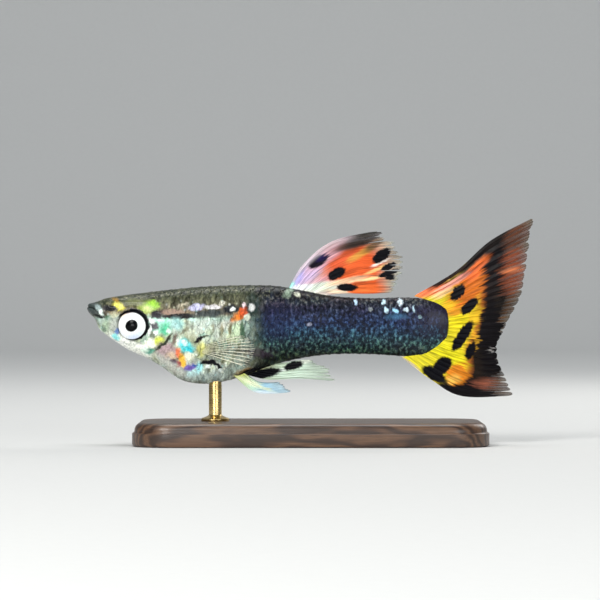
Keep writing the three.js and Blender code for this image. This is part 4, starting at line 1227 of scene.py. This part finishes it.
# Fin colours. "ground" runs from root to edge, and "cover" says how much of the membrane shows there.
finLooks = {
    "tail": {
        "ground": [(0.0, (0.6, 0.54, 0.02)), (0.42, (0.66, 0.52, 0.02)), (0.52, (0.34, 0.1, 0.015)),
                   (0.6, (0.012, 0.008, 0.006)), (0.78, (0.008, 0.006, 0.005)), (0.88, (0.07, 0.035, 0.018)),
                   (1.0, (0.08, 0.06, 0.035))],
        "cover": [(0.0, 1.0), (0.7, 0.97), (0.84, 0.72), (1.0, 0.38)],
        "streaks": 0.55,
        "warp": 0.34,
        "drag": 2.6,
        "patches": [
            (32.6, 3.3, 2.9, 1.15, 48, 0.35, 1.0, (0.52, 0.13, 0.015)),
            (29.2, 2.95, 1.5, 0.5, 22, 0.4, 1.0, (0.86, 0.2, 0.08)),
            # painted highlight: a cream spot on the orange-red root
            (30.2, 2.7, 0.9, 0.3, 30, 0.5, 0.9, (0.84, 0.52, 0.25)),
            (31.4, 3.85, 1.7, 0.3, 34, 0.45, 0.9, (0.78, 0.3, 0.26)),
            (33.2, 4.75, 1.3, 0.5, 50, 0.45, 0.95, (0.62, 0.12, 0.03)),
            (30.9, 1.55, 0.7, 0.5, 20, 0.6, 0.8, (0.72, 0.45, 0.02)),
            (31.2, 1.05, 0.7, 0.35, 0, 0.6, 0.9, (0.62, 0.25, 0.02)),
            (31.6, 0.3, 1.7, 0.5, 15, 0.5, 0.95, (0.7, 0.58, 0.015)),
            (33.0, 0.75, 0.5, 0.8, -20, 0.4, 0.9, (0.66, 0.4, 0.02)),
            (32.9, -1.4, 0.3, 1.0, -15, 0.5, 0.9, (0.66, 0.34, 0.02)),
            (30.8, -2.4, 1.8, 0.7, -35, 0.5, 0.9, (0.68, 0.62, 0.015)),
            (28.6, -3.55, 1.5, 0.62, -38, 0.3, 1.0, (0.68, 0.6, 0.03)),
            (33.2, 6.2, 2.6, 0.62, 50, 0.35, 1.0, (0.006, 0.004, 0.004)),
            (30.7, 4.15, 1.9, 0.33, 33, 0.35, 1.0, (0.014, 0.006, 0.005)),
            (34.7, 5.1, 0.75, 2.2, -14, 0.35, 1.0, (0.004, 0.003, 0.004)),
            (34.3, 2.4, 0.55, 1.6, -4, 0.4, 0.95, (0.008, 0.005, 0.005)),
            (34.4, -1.2, 0.9, 3.6, 2, 0.25, 1.0, (0.004, 0.003, 0.004)),
            (36.3, 4.7, 1.0, 1.9, -8, 0.5, 0.9, (0.2, 0.05, 0.022)),
            (36.1, 4.7, 1.1, 0.22, 8, 0.6, 0.85, (0.4, 0.12, 0.045)),
            (36.6, 7.6, 1.5, 0.7, 42, 0.5, 0.9, (0.075, 0.026, 0.013)),
            (32.3, -5.6, 2.8, 0.95, -8, 0.25, 1.0, (0.005, 0.004, 0.005)),
            (31.5, -4.15, 1.0, 0.85, 35, 0.25, 1.0, (0.62, 0.2, 0.015)),
            (31.15, -4.6, 0.55, 0.4, 20, 0.5, 0.9, (0.82, 0.45, 0.08)),
            (34.2, -5.02, 1.1, 0.4, -6, 0.8, 0.85, (0.26, 0.08, 0.045)),
            (35.2, -5.3, 0.9, 0.5, -5, 0.6, 0.8, (0.05, 0.03, 0.02)),
            (34.4, -2.1, 0.22, 0.2, 0, 0.5, 0.8, (0.3, 0.28, 0.27)),
            (27.4, -3.42, 1.3, 0.17, -38, 0.45, 0.9, (0.78, 0.66, 0.48)),
        ],
        "spots": [
            (31.5, 2.74, 0.82, 0.46, 52, 0.13, 1.0, black),
            (32.5, 1.6, 0.92, 0.42, 42, 0.13, 1.0, black),
            (31.9, -0.95, 1.5, 0.5, 57, 0.13, 1.0, black),
            (32.6, -2.2, 0.85, 0.36, 70, 0.2, 1.0, black),
            (30.2, -3.45, 0.95, 0.62, 40, 0.14, 1.0, black),
            (29.5, -4.2, 1.15, 0.5, -32, 0.16, 1.0, black),
        ],
    },
    "dorsal": {
        "ground": [(0.0, (0.66, 0.7, 0.62)), (0.2, (0.66, 0.42, 0.38)), (0.45, (0.6, 0.1, 0.03)),
                   (0.75, (0.6, 0.09, 0.02)), (0.88, (0.4, 0.28, 0.2)), (1.0, (0.3, 0.36, 0.32))],
        "cover": [(0.0, 1.0), (0.75, 0.98), (0.87, 0.75), (1.0, 0.4)],
        "streaks": 0.5,
        "warp": 0.16,
        "edges": [(0.25, 1.5, 0.85, (0.56, 0.5, 0.55))],
        "patches": [
            (18.9, 4.6, 2.0, 0.75, 52, 0.45, 0.95, (0.52, 0.4, 0.6)),
            (17.5, 3.75, 1.1, 0.45, 48, 0.5, 0.95, (0.42, 0.4, 0.85)),
            (20.6, 6.0, 2.2, 0.5, 36, 0.5, 0.85, (0.6, 0.36, 0.42)),
            (19.6, 3.55, 1.4, 0.42, 22, 0.6, 0.9, (0.66, 0.42, 0.5)),
            (22.5, 4.6, 2.3, 0.9, 24, 0.6, 0.9, (0.62, 0.1, 0.025)),
            (21.9, 5.55, 1.4, 0.5, 30, 0.6, 0.8, (0.55, 0.09, 0.035)),
            (20.0, 3.25, 1.9, 0.4, 8, 0.45, 1.0, (0.66, 0.74, 0.64)),
            (22.1, 3.75, 1.7, 0.24, 12, 0.5, 0.9, (0.86, 0.55, 0.34)),
            (23.6, 3.05, 1.7, 0.42, 3, 0.5, 0.95, (0.68, 0.13, 0.03)),
            (21.2, 2.85, 1.2, 0.18, -6, 0.5, 0.9, (0.82, 0.7, 0.5)),
            (24.2, 3.95, 1.0, 0.14, 12, 0.5, 0.85, (0.9, 0.6, 0.3)),
            (24.7, 4.75, 1.0, 0.15, 22, 0.5, 0.9, (0.86, 0.52, 0.2)),
            (24.9, 5.3, 0.8, 0.13, 26, 0.5, 0.9, (0.8, 0.76, 0.7)),
            (23.4, 6.1, 1.3, 0.3, 32, 0.5, 0.9, (0.5, 0.26, 0.05)),
            (22.6, 6.95, 1.9, 0.4, 20, 0.5, 0.95, (0.12, 0.06, 0.05)),
            (23.6, 7.3, 2.0, 0.5, 22, 0.45, 0.95, (0.025, 0.02, 0.017)),
            (24.4, 6.75, 0.9, 0.3, 30, 0.5, 0.8, (0.06, 0.04, 0.025)),
            (19.6, 5.4, 0.88, 0.45, 32, 0.2, 1.0, (0.006, 0.004, 0.01)),
            (19.95, 5.75, 0.5, 0.26, 30, 0.6, 0.7, (0.02, 0.012, 0.08)),
        ],
        "spots": [
            (17.1, 3.3, 0.55, 0.34, 30, 0.5, 1.0, (0.36, 0.85, 0.74)),
            (18.2, 3.2, 0.9, 0.24, 10, 0.5, 0.9, (0.8, 0.82, 0.86)),
            (24.1, 7.8, 1.9, 0.42, 14, 0.6, 1.0, (0.035, 0.03, 0.026)),
            (21.2, 4.35, 0.82, 0.45, 26, 0.15, 1.0, black),
            (22.1, 3.19, 0.9, 0.3, 0, 0.15, 1.0, black),
            (25.05, 5.9, 0.9, 0.46, 36, 0.16, 1.0, black),
            (25.65, 4.98, 0.74, 0.25, 24, 0.18, 1.0, black),
            (25.65, 4.42, 0.95, 0.22, 18, 0.18, 1.0, black),
            (25.75, 4.05, 0.42, 0.24, 0, 0.25, 1.0, black),
        ],
    },
    "anal": {
        "ground": [(0.0, (0.3, 0.24, 0.05)), (0.25, (0.55, 0.66, 0.5)), (0.6, (0.5, 0.62, 0.52)),
                   (1.0, (0.42, 0.5, 0.42))],
        "cover": [(0.0, 1.0), (0.6, 0.95), (1.0, 0.5)],
        "streaks": 0.35,
        "warp": 0.1,
        "patches": [
            (13.4, -4.2, 0.9, 0.3, 0, 0.5, 0.95, (0.22, 0.15, 0.02)),
            (16.5, -3.85, 0.46, 0.16, 8, 0.35, 1.0, (0.82, 0.9, 0.84)),
            (18.6, -3.02, 0.5, 0.2, 10, 0.4, 0.95, (0.72, 0.78, 0.68)),
            (17.2, -4.2, 2.4, 0.28, -2, 0.6, 0.8, (0.6, 0.74, 0.62)),
        ],
        "spots": [
            (14.9, -4.15, 1.65, 0.4, 11, 0.2, 1.0, black),
            (17.55, -3.45, 0.86, 0.36, 16, 0.2, 1.0, black),
        ],
    },
    "pelvic": {
        "ground": [(0.0, (0.46, 0.5, 0.12)), (0.25, (0.55, 0.72, 0.55)), (0.55, (0.3, 0.5, 0.62)),
                   (1.0, (0.5, 0.66, 0.74))],
        "cover": [(0.0, 1.0), (0.7, 0.9), (1.0, 0.6)],
        "streaks": 0.3,
        "warp": 0.1,
        "patches": [
            (14.3, -5.0, 1.6, 0.16, -22, 0.5, 0.85, (0.8, 0.85, 0.6)),
            (15.4, -5.75, 1.6, 0.14, -6, 0.5, 0.85, (0.75, 0.85, 0.92)),
        ],
        "spots": [],
    },
    "pectoral": {
        "ground": [(0.0, (0.5, 0.5, 0.2)), (0.2, (0.1, 0.1, 0.05)), (0.7, (0.06, 0.065, 0.04)),
                   (1.0, (0.1, 0.12, 0.09))],
        "cover": [(0.0, 0.6), (0.2, 0.08), (0.7, 0.04), (1.0, 0.0)],
        "streaks": 0.2,
        "warp": 0.05,
        "rayCover": 0.78,
        "rayColour": (0.95, 0.93, 0.74),
        "patches": [],
        "spots": [],
    },
}
finShade = {
    "warp": 1.6, "wobble": (0.9, 3.0), "wobbleAmount": 0.1,
    "streaks": (1.0, 3.0), "streakStretch": (2.1, 2.6, 0.0), "drag": 1.6, "dragUp": 0.25,
    "spotWarp": (0.3, 4.5),
    "coverStreaks": 0.35, "rayCover": 0.35, "rayCoverEdge": (0.35, 0.8),
    "solidBelow": (0.012, 0.006),  # marks darker than this hide what is behind them
    "ownRay": (0.4, 0.85), "ownRayStrength": 0.8,
    "rayTint": (1.9, 1.8, 1.6), "rayEdge": (0.5, 0.95), "rayStrength": 0.22,
    "fine": (1.0, 2.0), "fineStretch": (7.0, 20.0, 0.0), "bump": (0.2, 0.00003), "rough": (0.36, 0.52),
    "gloss": {"Coat Weight": 0.02, "Coat Roughness": 0.25, "Specular IOR Level": 0.07},
}


def finMaterial(name, look):
    material, tree = newMaterial(name)
    place = fishPlace(tree)
    ray = attributeOf(tree, "ray", "Vector")
    count, out, ridge = split(tree, ray)
    bent = shifted(tree, place, look["warp"], finShade["warp"])
    wobble = noiseOf(tree, place, *finShade["wobble"])
    outBent = maths(tree, "ADD", out, push(tree, wobble, finShade["wobbleAmount"]))
    colour = ramp(tree, outBent, look["ground"])
    streaks = noiseOf(tree, scaled(tree, ray, *finShade["streakStretch"]), *finShade["streaks"])
    reach = push(tree, streaks, look.get("drag", finShade["drag"]))
    pull = joined(tree, reach, times(tree, reach, finShade["dragUp"]))
    colour = painted(tree, vectorMaths(tree, "ADD", bent, pull), colour, look["patches"])
    for start, end, strength, paint in look.get("edges", ()):
        colour = mixed(tree, ranged(tree, count, start, end, strength, 0.0), colour, paint)
    colour = painted(tree, shifted(tree, bent, *finShade["spotWarp"]), colour, look["spots"])
    strong = look["streaks"]
    stops = [(0.3, (1 - strong,) * 3), (0.5, (1.0,) * 3), (0.75, (1 + strong,) * 3)]
    colour = tinted(tree, colour, streaks, stops)
    shown = ramp(tree, outBent, [(share, (amount,) * 3) for share, amount in look["cover"]])
    shown = maths(tree, "ADD", shown, push(tree, streaks, finShade["coverStreaks"]))
    rayShown = times(tree, ranged(tree, ridge, *finShade["rayCoverEdge"]),
                     look.get("rayCover", finShade["rayCover"]))
    shown = maths(tree, "ADD", shown, rayShown, clamp=True)
    tone = tree.nodes.new("ShaderNodeRGBToBW")
    feed(tree, tone.inputs[0], colour)
    shown = maths(tree, "MAXIMUM", shown, ranged(tree, tone.outputs[0], *finShade["solidBelow"]))
    if "rayColour" in look:
        onRay = times(tree, ranged(tree, ridge, *finShade["ownRay"]), finShade["ownRayStrength"])
        paint = look["rayColour"]
    else:
        onRay = times(tree, ranged(tree, ridge, *finShade["rayEdge"]), finShade["rayStrength"])
        paint = mixed(tree, 1.0, colour, finShade["rayTint"], "MULTIPLY")
    colour = mixed(tree, onRay, colour, paint)
    fine = noiseOf(tree, scaled(tree, ray, *finShade["fineStretch"]), *finShade["fine"])
    shader(tree, colour, {"Roughness": roughOf(tree, fine, *finShade["rough"]), "Alpha": shown,
                          "Normal": bumpOf(tree, fine, *finShade["bump"]), **finShade["gloss"]})
    return material


finList = [  # the CAD node, the fin, its side, its look and its slot
    ("tail_fin", tailFin, 0, "tail", "fin_yellow"),
    ("dorsal_fin", dorsalFin, 0, "dorsal", "fin_orange"),
    ("anal_fin", analFin, 0, "anal", "fin_clear"),
    ("pelvic_fin_left", pelvicFin, -1, "pelvic", "fin_clear"),
    ("pelvic_fin_right", pelvicFin, 1, "pelvic", "fin_clear"),
    ("pectoral_fin_left", pectoralFin, -1, "pectoral", "fin_clear"),
    ("pectoral_fin_right", pectoralFin, 1, "pectoral", "fin_clear"),
]
finMaterials = {key: finMaterial(f"guppyFin_{key}", look) for key, look in finLooks.items()}
for node, fin, side, look, slotName in finList:
    finish(buildFin(f"guppy_{node}", fin, side), slotName, finMaterials[look], node)
print("fins")

# Stand: a walnut base with a moulded edge, and a brass rod with a turned collar
quarterRound = [(1 - math.cos(angle), math.sin(angle)) for angle in np.linspace(0, math.pi / 2, 9)]
stand = {
    "corner": 3.4, "cornerSteps": 14,
    "baseFoot": [(0.25, 0.0), (0.06, 0.08), (0.0, 0.25)],  # inset and height above the floor
    "baseMould": [(0.0, -0.95), (0.0, -0.9), (0.14, -0.86), (0.2, -0.78)],  # inset and depth below the top
    "roundInset": 0.2, "roundWidth": 0.6, "roundDepth": 0.7, "topInset": 1.2,
    "rodAt": 10.9, "rodRadius": 0.55, "rodSteps": 64,
    "intoBelly": 0.35,  # how far the rod's end lies inside the belly
    "collarRadius": 1.2, "collarFoot": [(0.97, 0.0), (1, 0.06), (1, 0.2), (0.93, 0.26)],  # share, height
    "collarNeck": 0.88, "neckAt": 0.28, "neckHeight": 0.26, "neckPower": 1.5, "plainFrom": 0.6,
    "rodTip": [(1, -0.5), (0.96, -0.45), (0.96, 0)],  # share of the radius, height above the end
    "sharpAngle": 38,
}
woodLook = {
    "bandStretch": (120, 900, 900), "warpStretch": (60, 240, 240), "warp": (0.0, 3.5, 3.5),
    "bands": {"Scale": 0.55, "Distortion": 5.0, "Detail": 3.0, "Detail Scale": 1.2},
    "bandStops": [(0.1, (0.034, 0.016, 0.008)), (0.5, (0.075, 0.036, 0.018)), (0.9, (0.12, 0.062, 0.031))],
    "fibreStretch": (500, 9000, 9000), "fibres": (1.0, 4.0, 0.7), "bump": (0.3, 0.00003),
    "fibreStops": [(0.3, (0.55, 0.52, 0.5)), (0.7, (1.25, 1.22, 1.2))],
    "rough": (0.34, 0.5), "gloss": {"Coat Weight": 0.3, "Coat Roughness": 0.25},
}
brassLook = {
    "turnedStretch": (900, 900, 14000), "cloudStretch": (700, 700, 700), "noise": (1.0, 3.0),
    "stops": [(0.3, (0.56, 0.39, 0.14)), (0.7, (0.72, 0.54, 0.24))],
    "rough": (0.2, 0.38), "bump": (0.05, 0.00001),
}


def woodMaterial():
    material, tree = newMaterial("walnut")
    spot = objectPlace(tree)
    warp = noiseOf(tree, scaled(tree, spot, *woodLook["warpStretch"]), 1.0, 3.0, output=1)
    bent = vectorMaths(tree, "ADD", scaled(tree, spot, *woodLook["bandStretch"]),
                       scaled(tree, warp, *woodLook["warp"]))
    bands = wavesOf(tree, bent, "Y", woodLook["bands"])
    fibres = noiseOf(tree, scaled(tree, spot, *woodLook["fibreStretch"]), *woodLook["fibres"])
    colour = tinted(tree, ramp(tree, bands, woodLook["bandStops"]), fibres, woodLook["fibreStops"])
    shader(tree, colour, {"Roughness": roughOf(tree, fibres, *woodLook["rough"]),
                          "Normal": bumpOf(tree, fibres, *woodLook["bump"]), **woodLook["gloss"]})
    return material


def brassMaterial():
    material, tree = newMaterial("brass")
    spot = objectPlace(tree)
    turned = noiseOf(tree, scaled(tree, spot, *brassLook["turnedStretch"]), *brassLook["noise"])
    cloud = noiseOf(tree, scaled(tree, spot, *brassLook["cloudStretch"]), *brassLook["noise"])
    shader(tree, ramp(tree, cloud, brassLook["stops"]), {
        "Metallic": 1.0, "Roughness": roughOf(tree, turned, *brassLook["rough"]),
        "Normal": bumpOf(tree, turned, *brassLook["bump"])})
    return material


def roundedRing(lengthHalf, widthHalf, corner):
    ring = []
    for quarter, (sx, sy) in enumerate(((1, 1), (-1, 1), (-1, -1), (1, -1))):
        for i in range(stand["cornerSteps"] + 1):
            angle = math.pi / 2 * (quarter + i / stand["cornerSteps"])
            ring.append((sx * (lengthHalf - corner) + corner * math.cos(angle),
                         sy * (widthHalf - corner) + corner * math.sin(angle)))
    return ring


def buildBase():
    low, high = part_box("stand_base")
    lengthHalf, widthHalf, top = (high.x - low.x) * 500, (high.y - low.y) * 500, high.z * 1000
    profile = stand["baseFoot"] + [(inset, top + drop) for inset, drop in stand["baseMould"]]
    profile += [(stand["roundInset"] + stand["roundWidth"] * aside, top - stand["roundDepth"] * (1 - rise))
                for aside, rise in quarterRound]
    profile.append((stand["topInset"], top))
    points = [(x, y, z) for inset, z in profile
              for x, y in roundedRing(lengthHalf - inset, widthHalf - inset, stand["corner"] - inset)]
    count = len(points) // len(profile)
    return meshPiece("stand_base_wood", np.array(points) * 0.001, cappedFaces(len(profile), count))


def buildRod():
    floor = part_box("stand_rod")[0].z * 1000
    top = fish["axisHeight"] + along(2, stand["rodAt"]) + stand["intoBelly"]
    rod, collar = stand["rodRadius"], stand["collarRadius"]
    flare = collar * stand["collarNeck"] - rod
    profile = [(collar * share, floor + height) for share, height in stand["collarFoot"]]
    profile += [(rod + flare * (1 - rise) ** stand["neckPower"],
                 floor + stand["neckAt"] + stand["neckHeight"] * rise) for _, rise in quarterRound]
    profile.append((rod, floor + stand["plainFrom"]))
    profile += [(rod * share, top + height) for share, height in stand["rodTip"]]
    turn = np.arange(stand["rodSteps"]) / stand["rodSteps"] * 2 * np.pi
    x0 = fish["snoutX"] + stand["rodAt"]
    points = np.concatenate([np.stack([x0 + radius * np.cos(turn), radius * np.sin(turn), 0 * turn + z], -1)
                             for radius, z in profile])
    return meshPiece("stand_rod_brass", points * 0.001, cappedFaces(len(profile), stand["rodSteps"]))


base = finish(buildBase(), "stand_wood", woodMaterial(), "stand_base")
rod = finish(buildRod(), "stand_brass", brassMaterial(), "stand_rod")
for piece in (base, rod):
    piece.data.set_sharp_from_angle(angle=math.radians(stand["sharpAngle"]))
print("stand")

# Floor, light and camera. Lengths are in millimetres, apart from those of the lights, in metres.
studio = {
    "floorHalf": 1600, "sweepAt": 520, "frontWall": 1500, "sweepRadius": 200, "sweepSteps": 24,
    "wallHeight": 1300,
    "paper": (0.62, 0.63, 0.62), "paperLighter": 1.04, "paperStretch": (900, 900, 900),
    "frameWidth": 51.0, "middleX": -0.9, "middleZ": 12.28, "lens": 200, "sensor": 36,
    "sky": (0.85, 0.9, 1.0, 1), "skyStrength": 0.22,
    "lights": [  # name, place, aim, size, power, colour
        ("key", (-0.13, -0.26, 0.19), (0, 0, 0.01), 0.14, 0.78, (1.0, 0.98, 0.95)),
        ("fill", (0.16, -0.3, 0.05), (0, 0, 0.01), 0.2, 0.38, (0.95, 0.98, 1.0)),
        ("low", (-0.1, -0.3, 0.015), (0, 0, 0.012), 0.12, 0.36, (1.0, 1.0, 1.0)),
        ("top", (0.0, 0.05, 0.3), (0, 0, 0.01), 0.2, 0.3, (1.0, 1.0, 1.0)),
        ("back", (0.14, 0.15, 0.12), (0, 0, 0.01), 0.12, 0.16, (1.0, 0.97, 0.93)),
        ("wash", (0.0, 0.2, 0.75), (0, 0.72, 0.1), 0.6, 2.4, (1.0, 1.0, 1.0)),
    ],
}


def paperMaterial():
    material, tree = newMaterial("paper")
    fibres = noiseOf(tree, scaled(tree, objectPlace(tree), *studio["paperStretch"]), 1.0, 3.0)
    lighter = tuple(c * studio["paperLighter"] for c in studio["paper"])
    shader(tree, mixed(tree, fibres, studio["paper"], lighter), {"Roughness": 0.8, "Specular IOR Level": 0.2})
    return material


# A floor that sweeps up to a wall behind the object, and another behind the camera
def buildBackdrop():
    radius, half = studio["sweepRadius"], studio["floorHalf"]
    sweep = [(math.sin(angle) * radius, (1 - math.cos(angle)) * radius)
             for angle in np.linspace(0, math.pi / 2, studio["sweepSteps"] + 1)]
    sweep.append((radius, studio["wallHeight"]))
    profile = [(-studio["frontWall"] - y, z) for y, z in reversed(sweep)]
    profile += [(studio["sweepAt"] + y, z) for y, z in sweep]
    points = np.array([(x, y, z) for y, z in profile for x in (-half, half)])
    piece = meshPiece("backdrop", points * 0.001, gridFaces(len(profile), 2))
    piece.data.materials.append(paperMaterial())


def areaLight(name, place, aim, size, power, colour):
    data = bpy.data.lights.new(name, "AREA")
    data.shape, data.size, data.energy, data.color = "DISK", size, power, colour
    light = bpy.data.objects.new(name, data)
    light.location = place
    light.rotation_euler = (Vector(aim) - Vector(place)).to_track_quat("-Z", "Y").to_euler()
    bpy.context.scene.collection.objects.link(light)


def buildCamera():
    data = bpy.data.cameras.new("camera")
    data.lens, data.sensor_width = studio["lens"], studio["sensor"]
    data.clip_start, data.clip_end = 0.01, 10
    camera = bpy.data.objects.new("camera", data)
    away = studio["frameWidth"] * studio["lens"] / studio["sensor"]
    camera.location = (studio["middleX"] * 0.001, -away * 0.001, studio["middleZ"] * 0.001)
    camera.rotation_euler = (math.pi / 2, 0, 0)
    bpy.context.scene.collection.objects.link(camera)
    bpy.context.scene.camera = camera


buildBackdrop()
for light in studio["lights"]:
    areaLight(*light)
world = bpy.data.worlds.new("studio")
bpy.context.scene.world = world
world.use_nodes = True
world.node_tree.nodes["Background"].inputs["Color"].default_value = studio["sky"]
world.node_tree.nodes["Background"].inputs["Strength"].default_value = studio["skyStrength"]
buildCamera()
bpy.context.scene.view_settings.view_transform = "Standard"
print("studio")

print("ready")
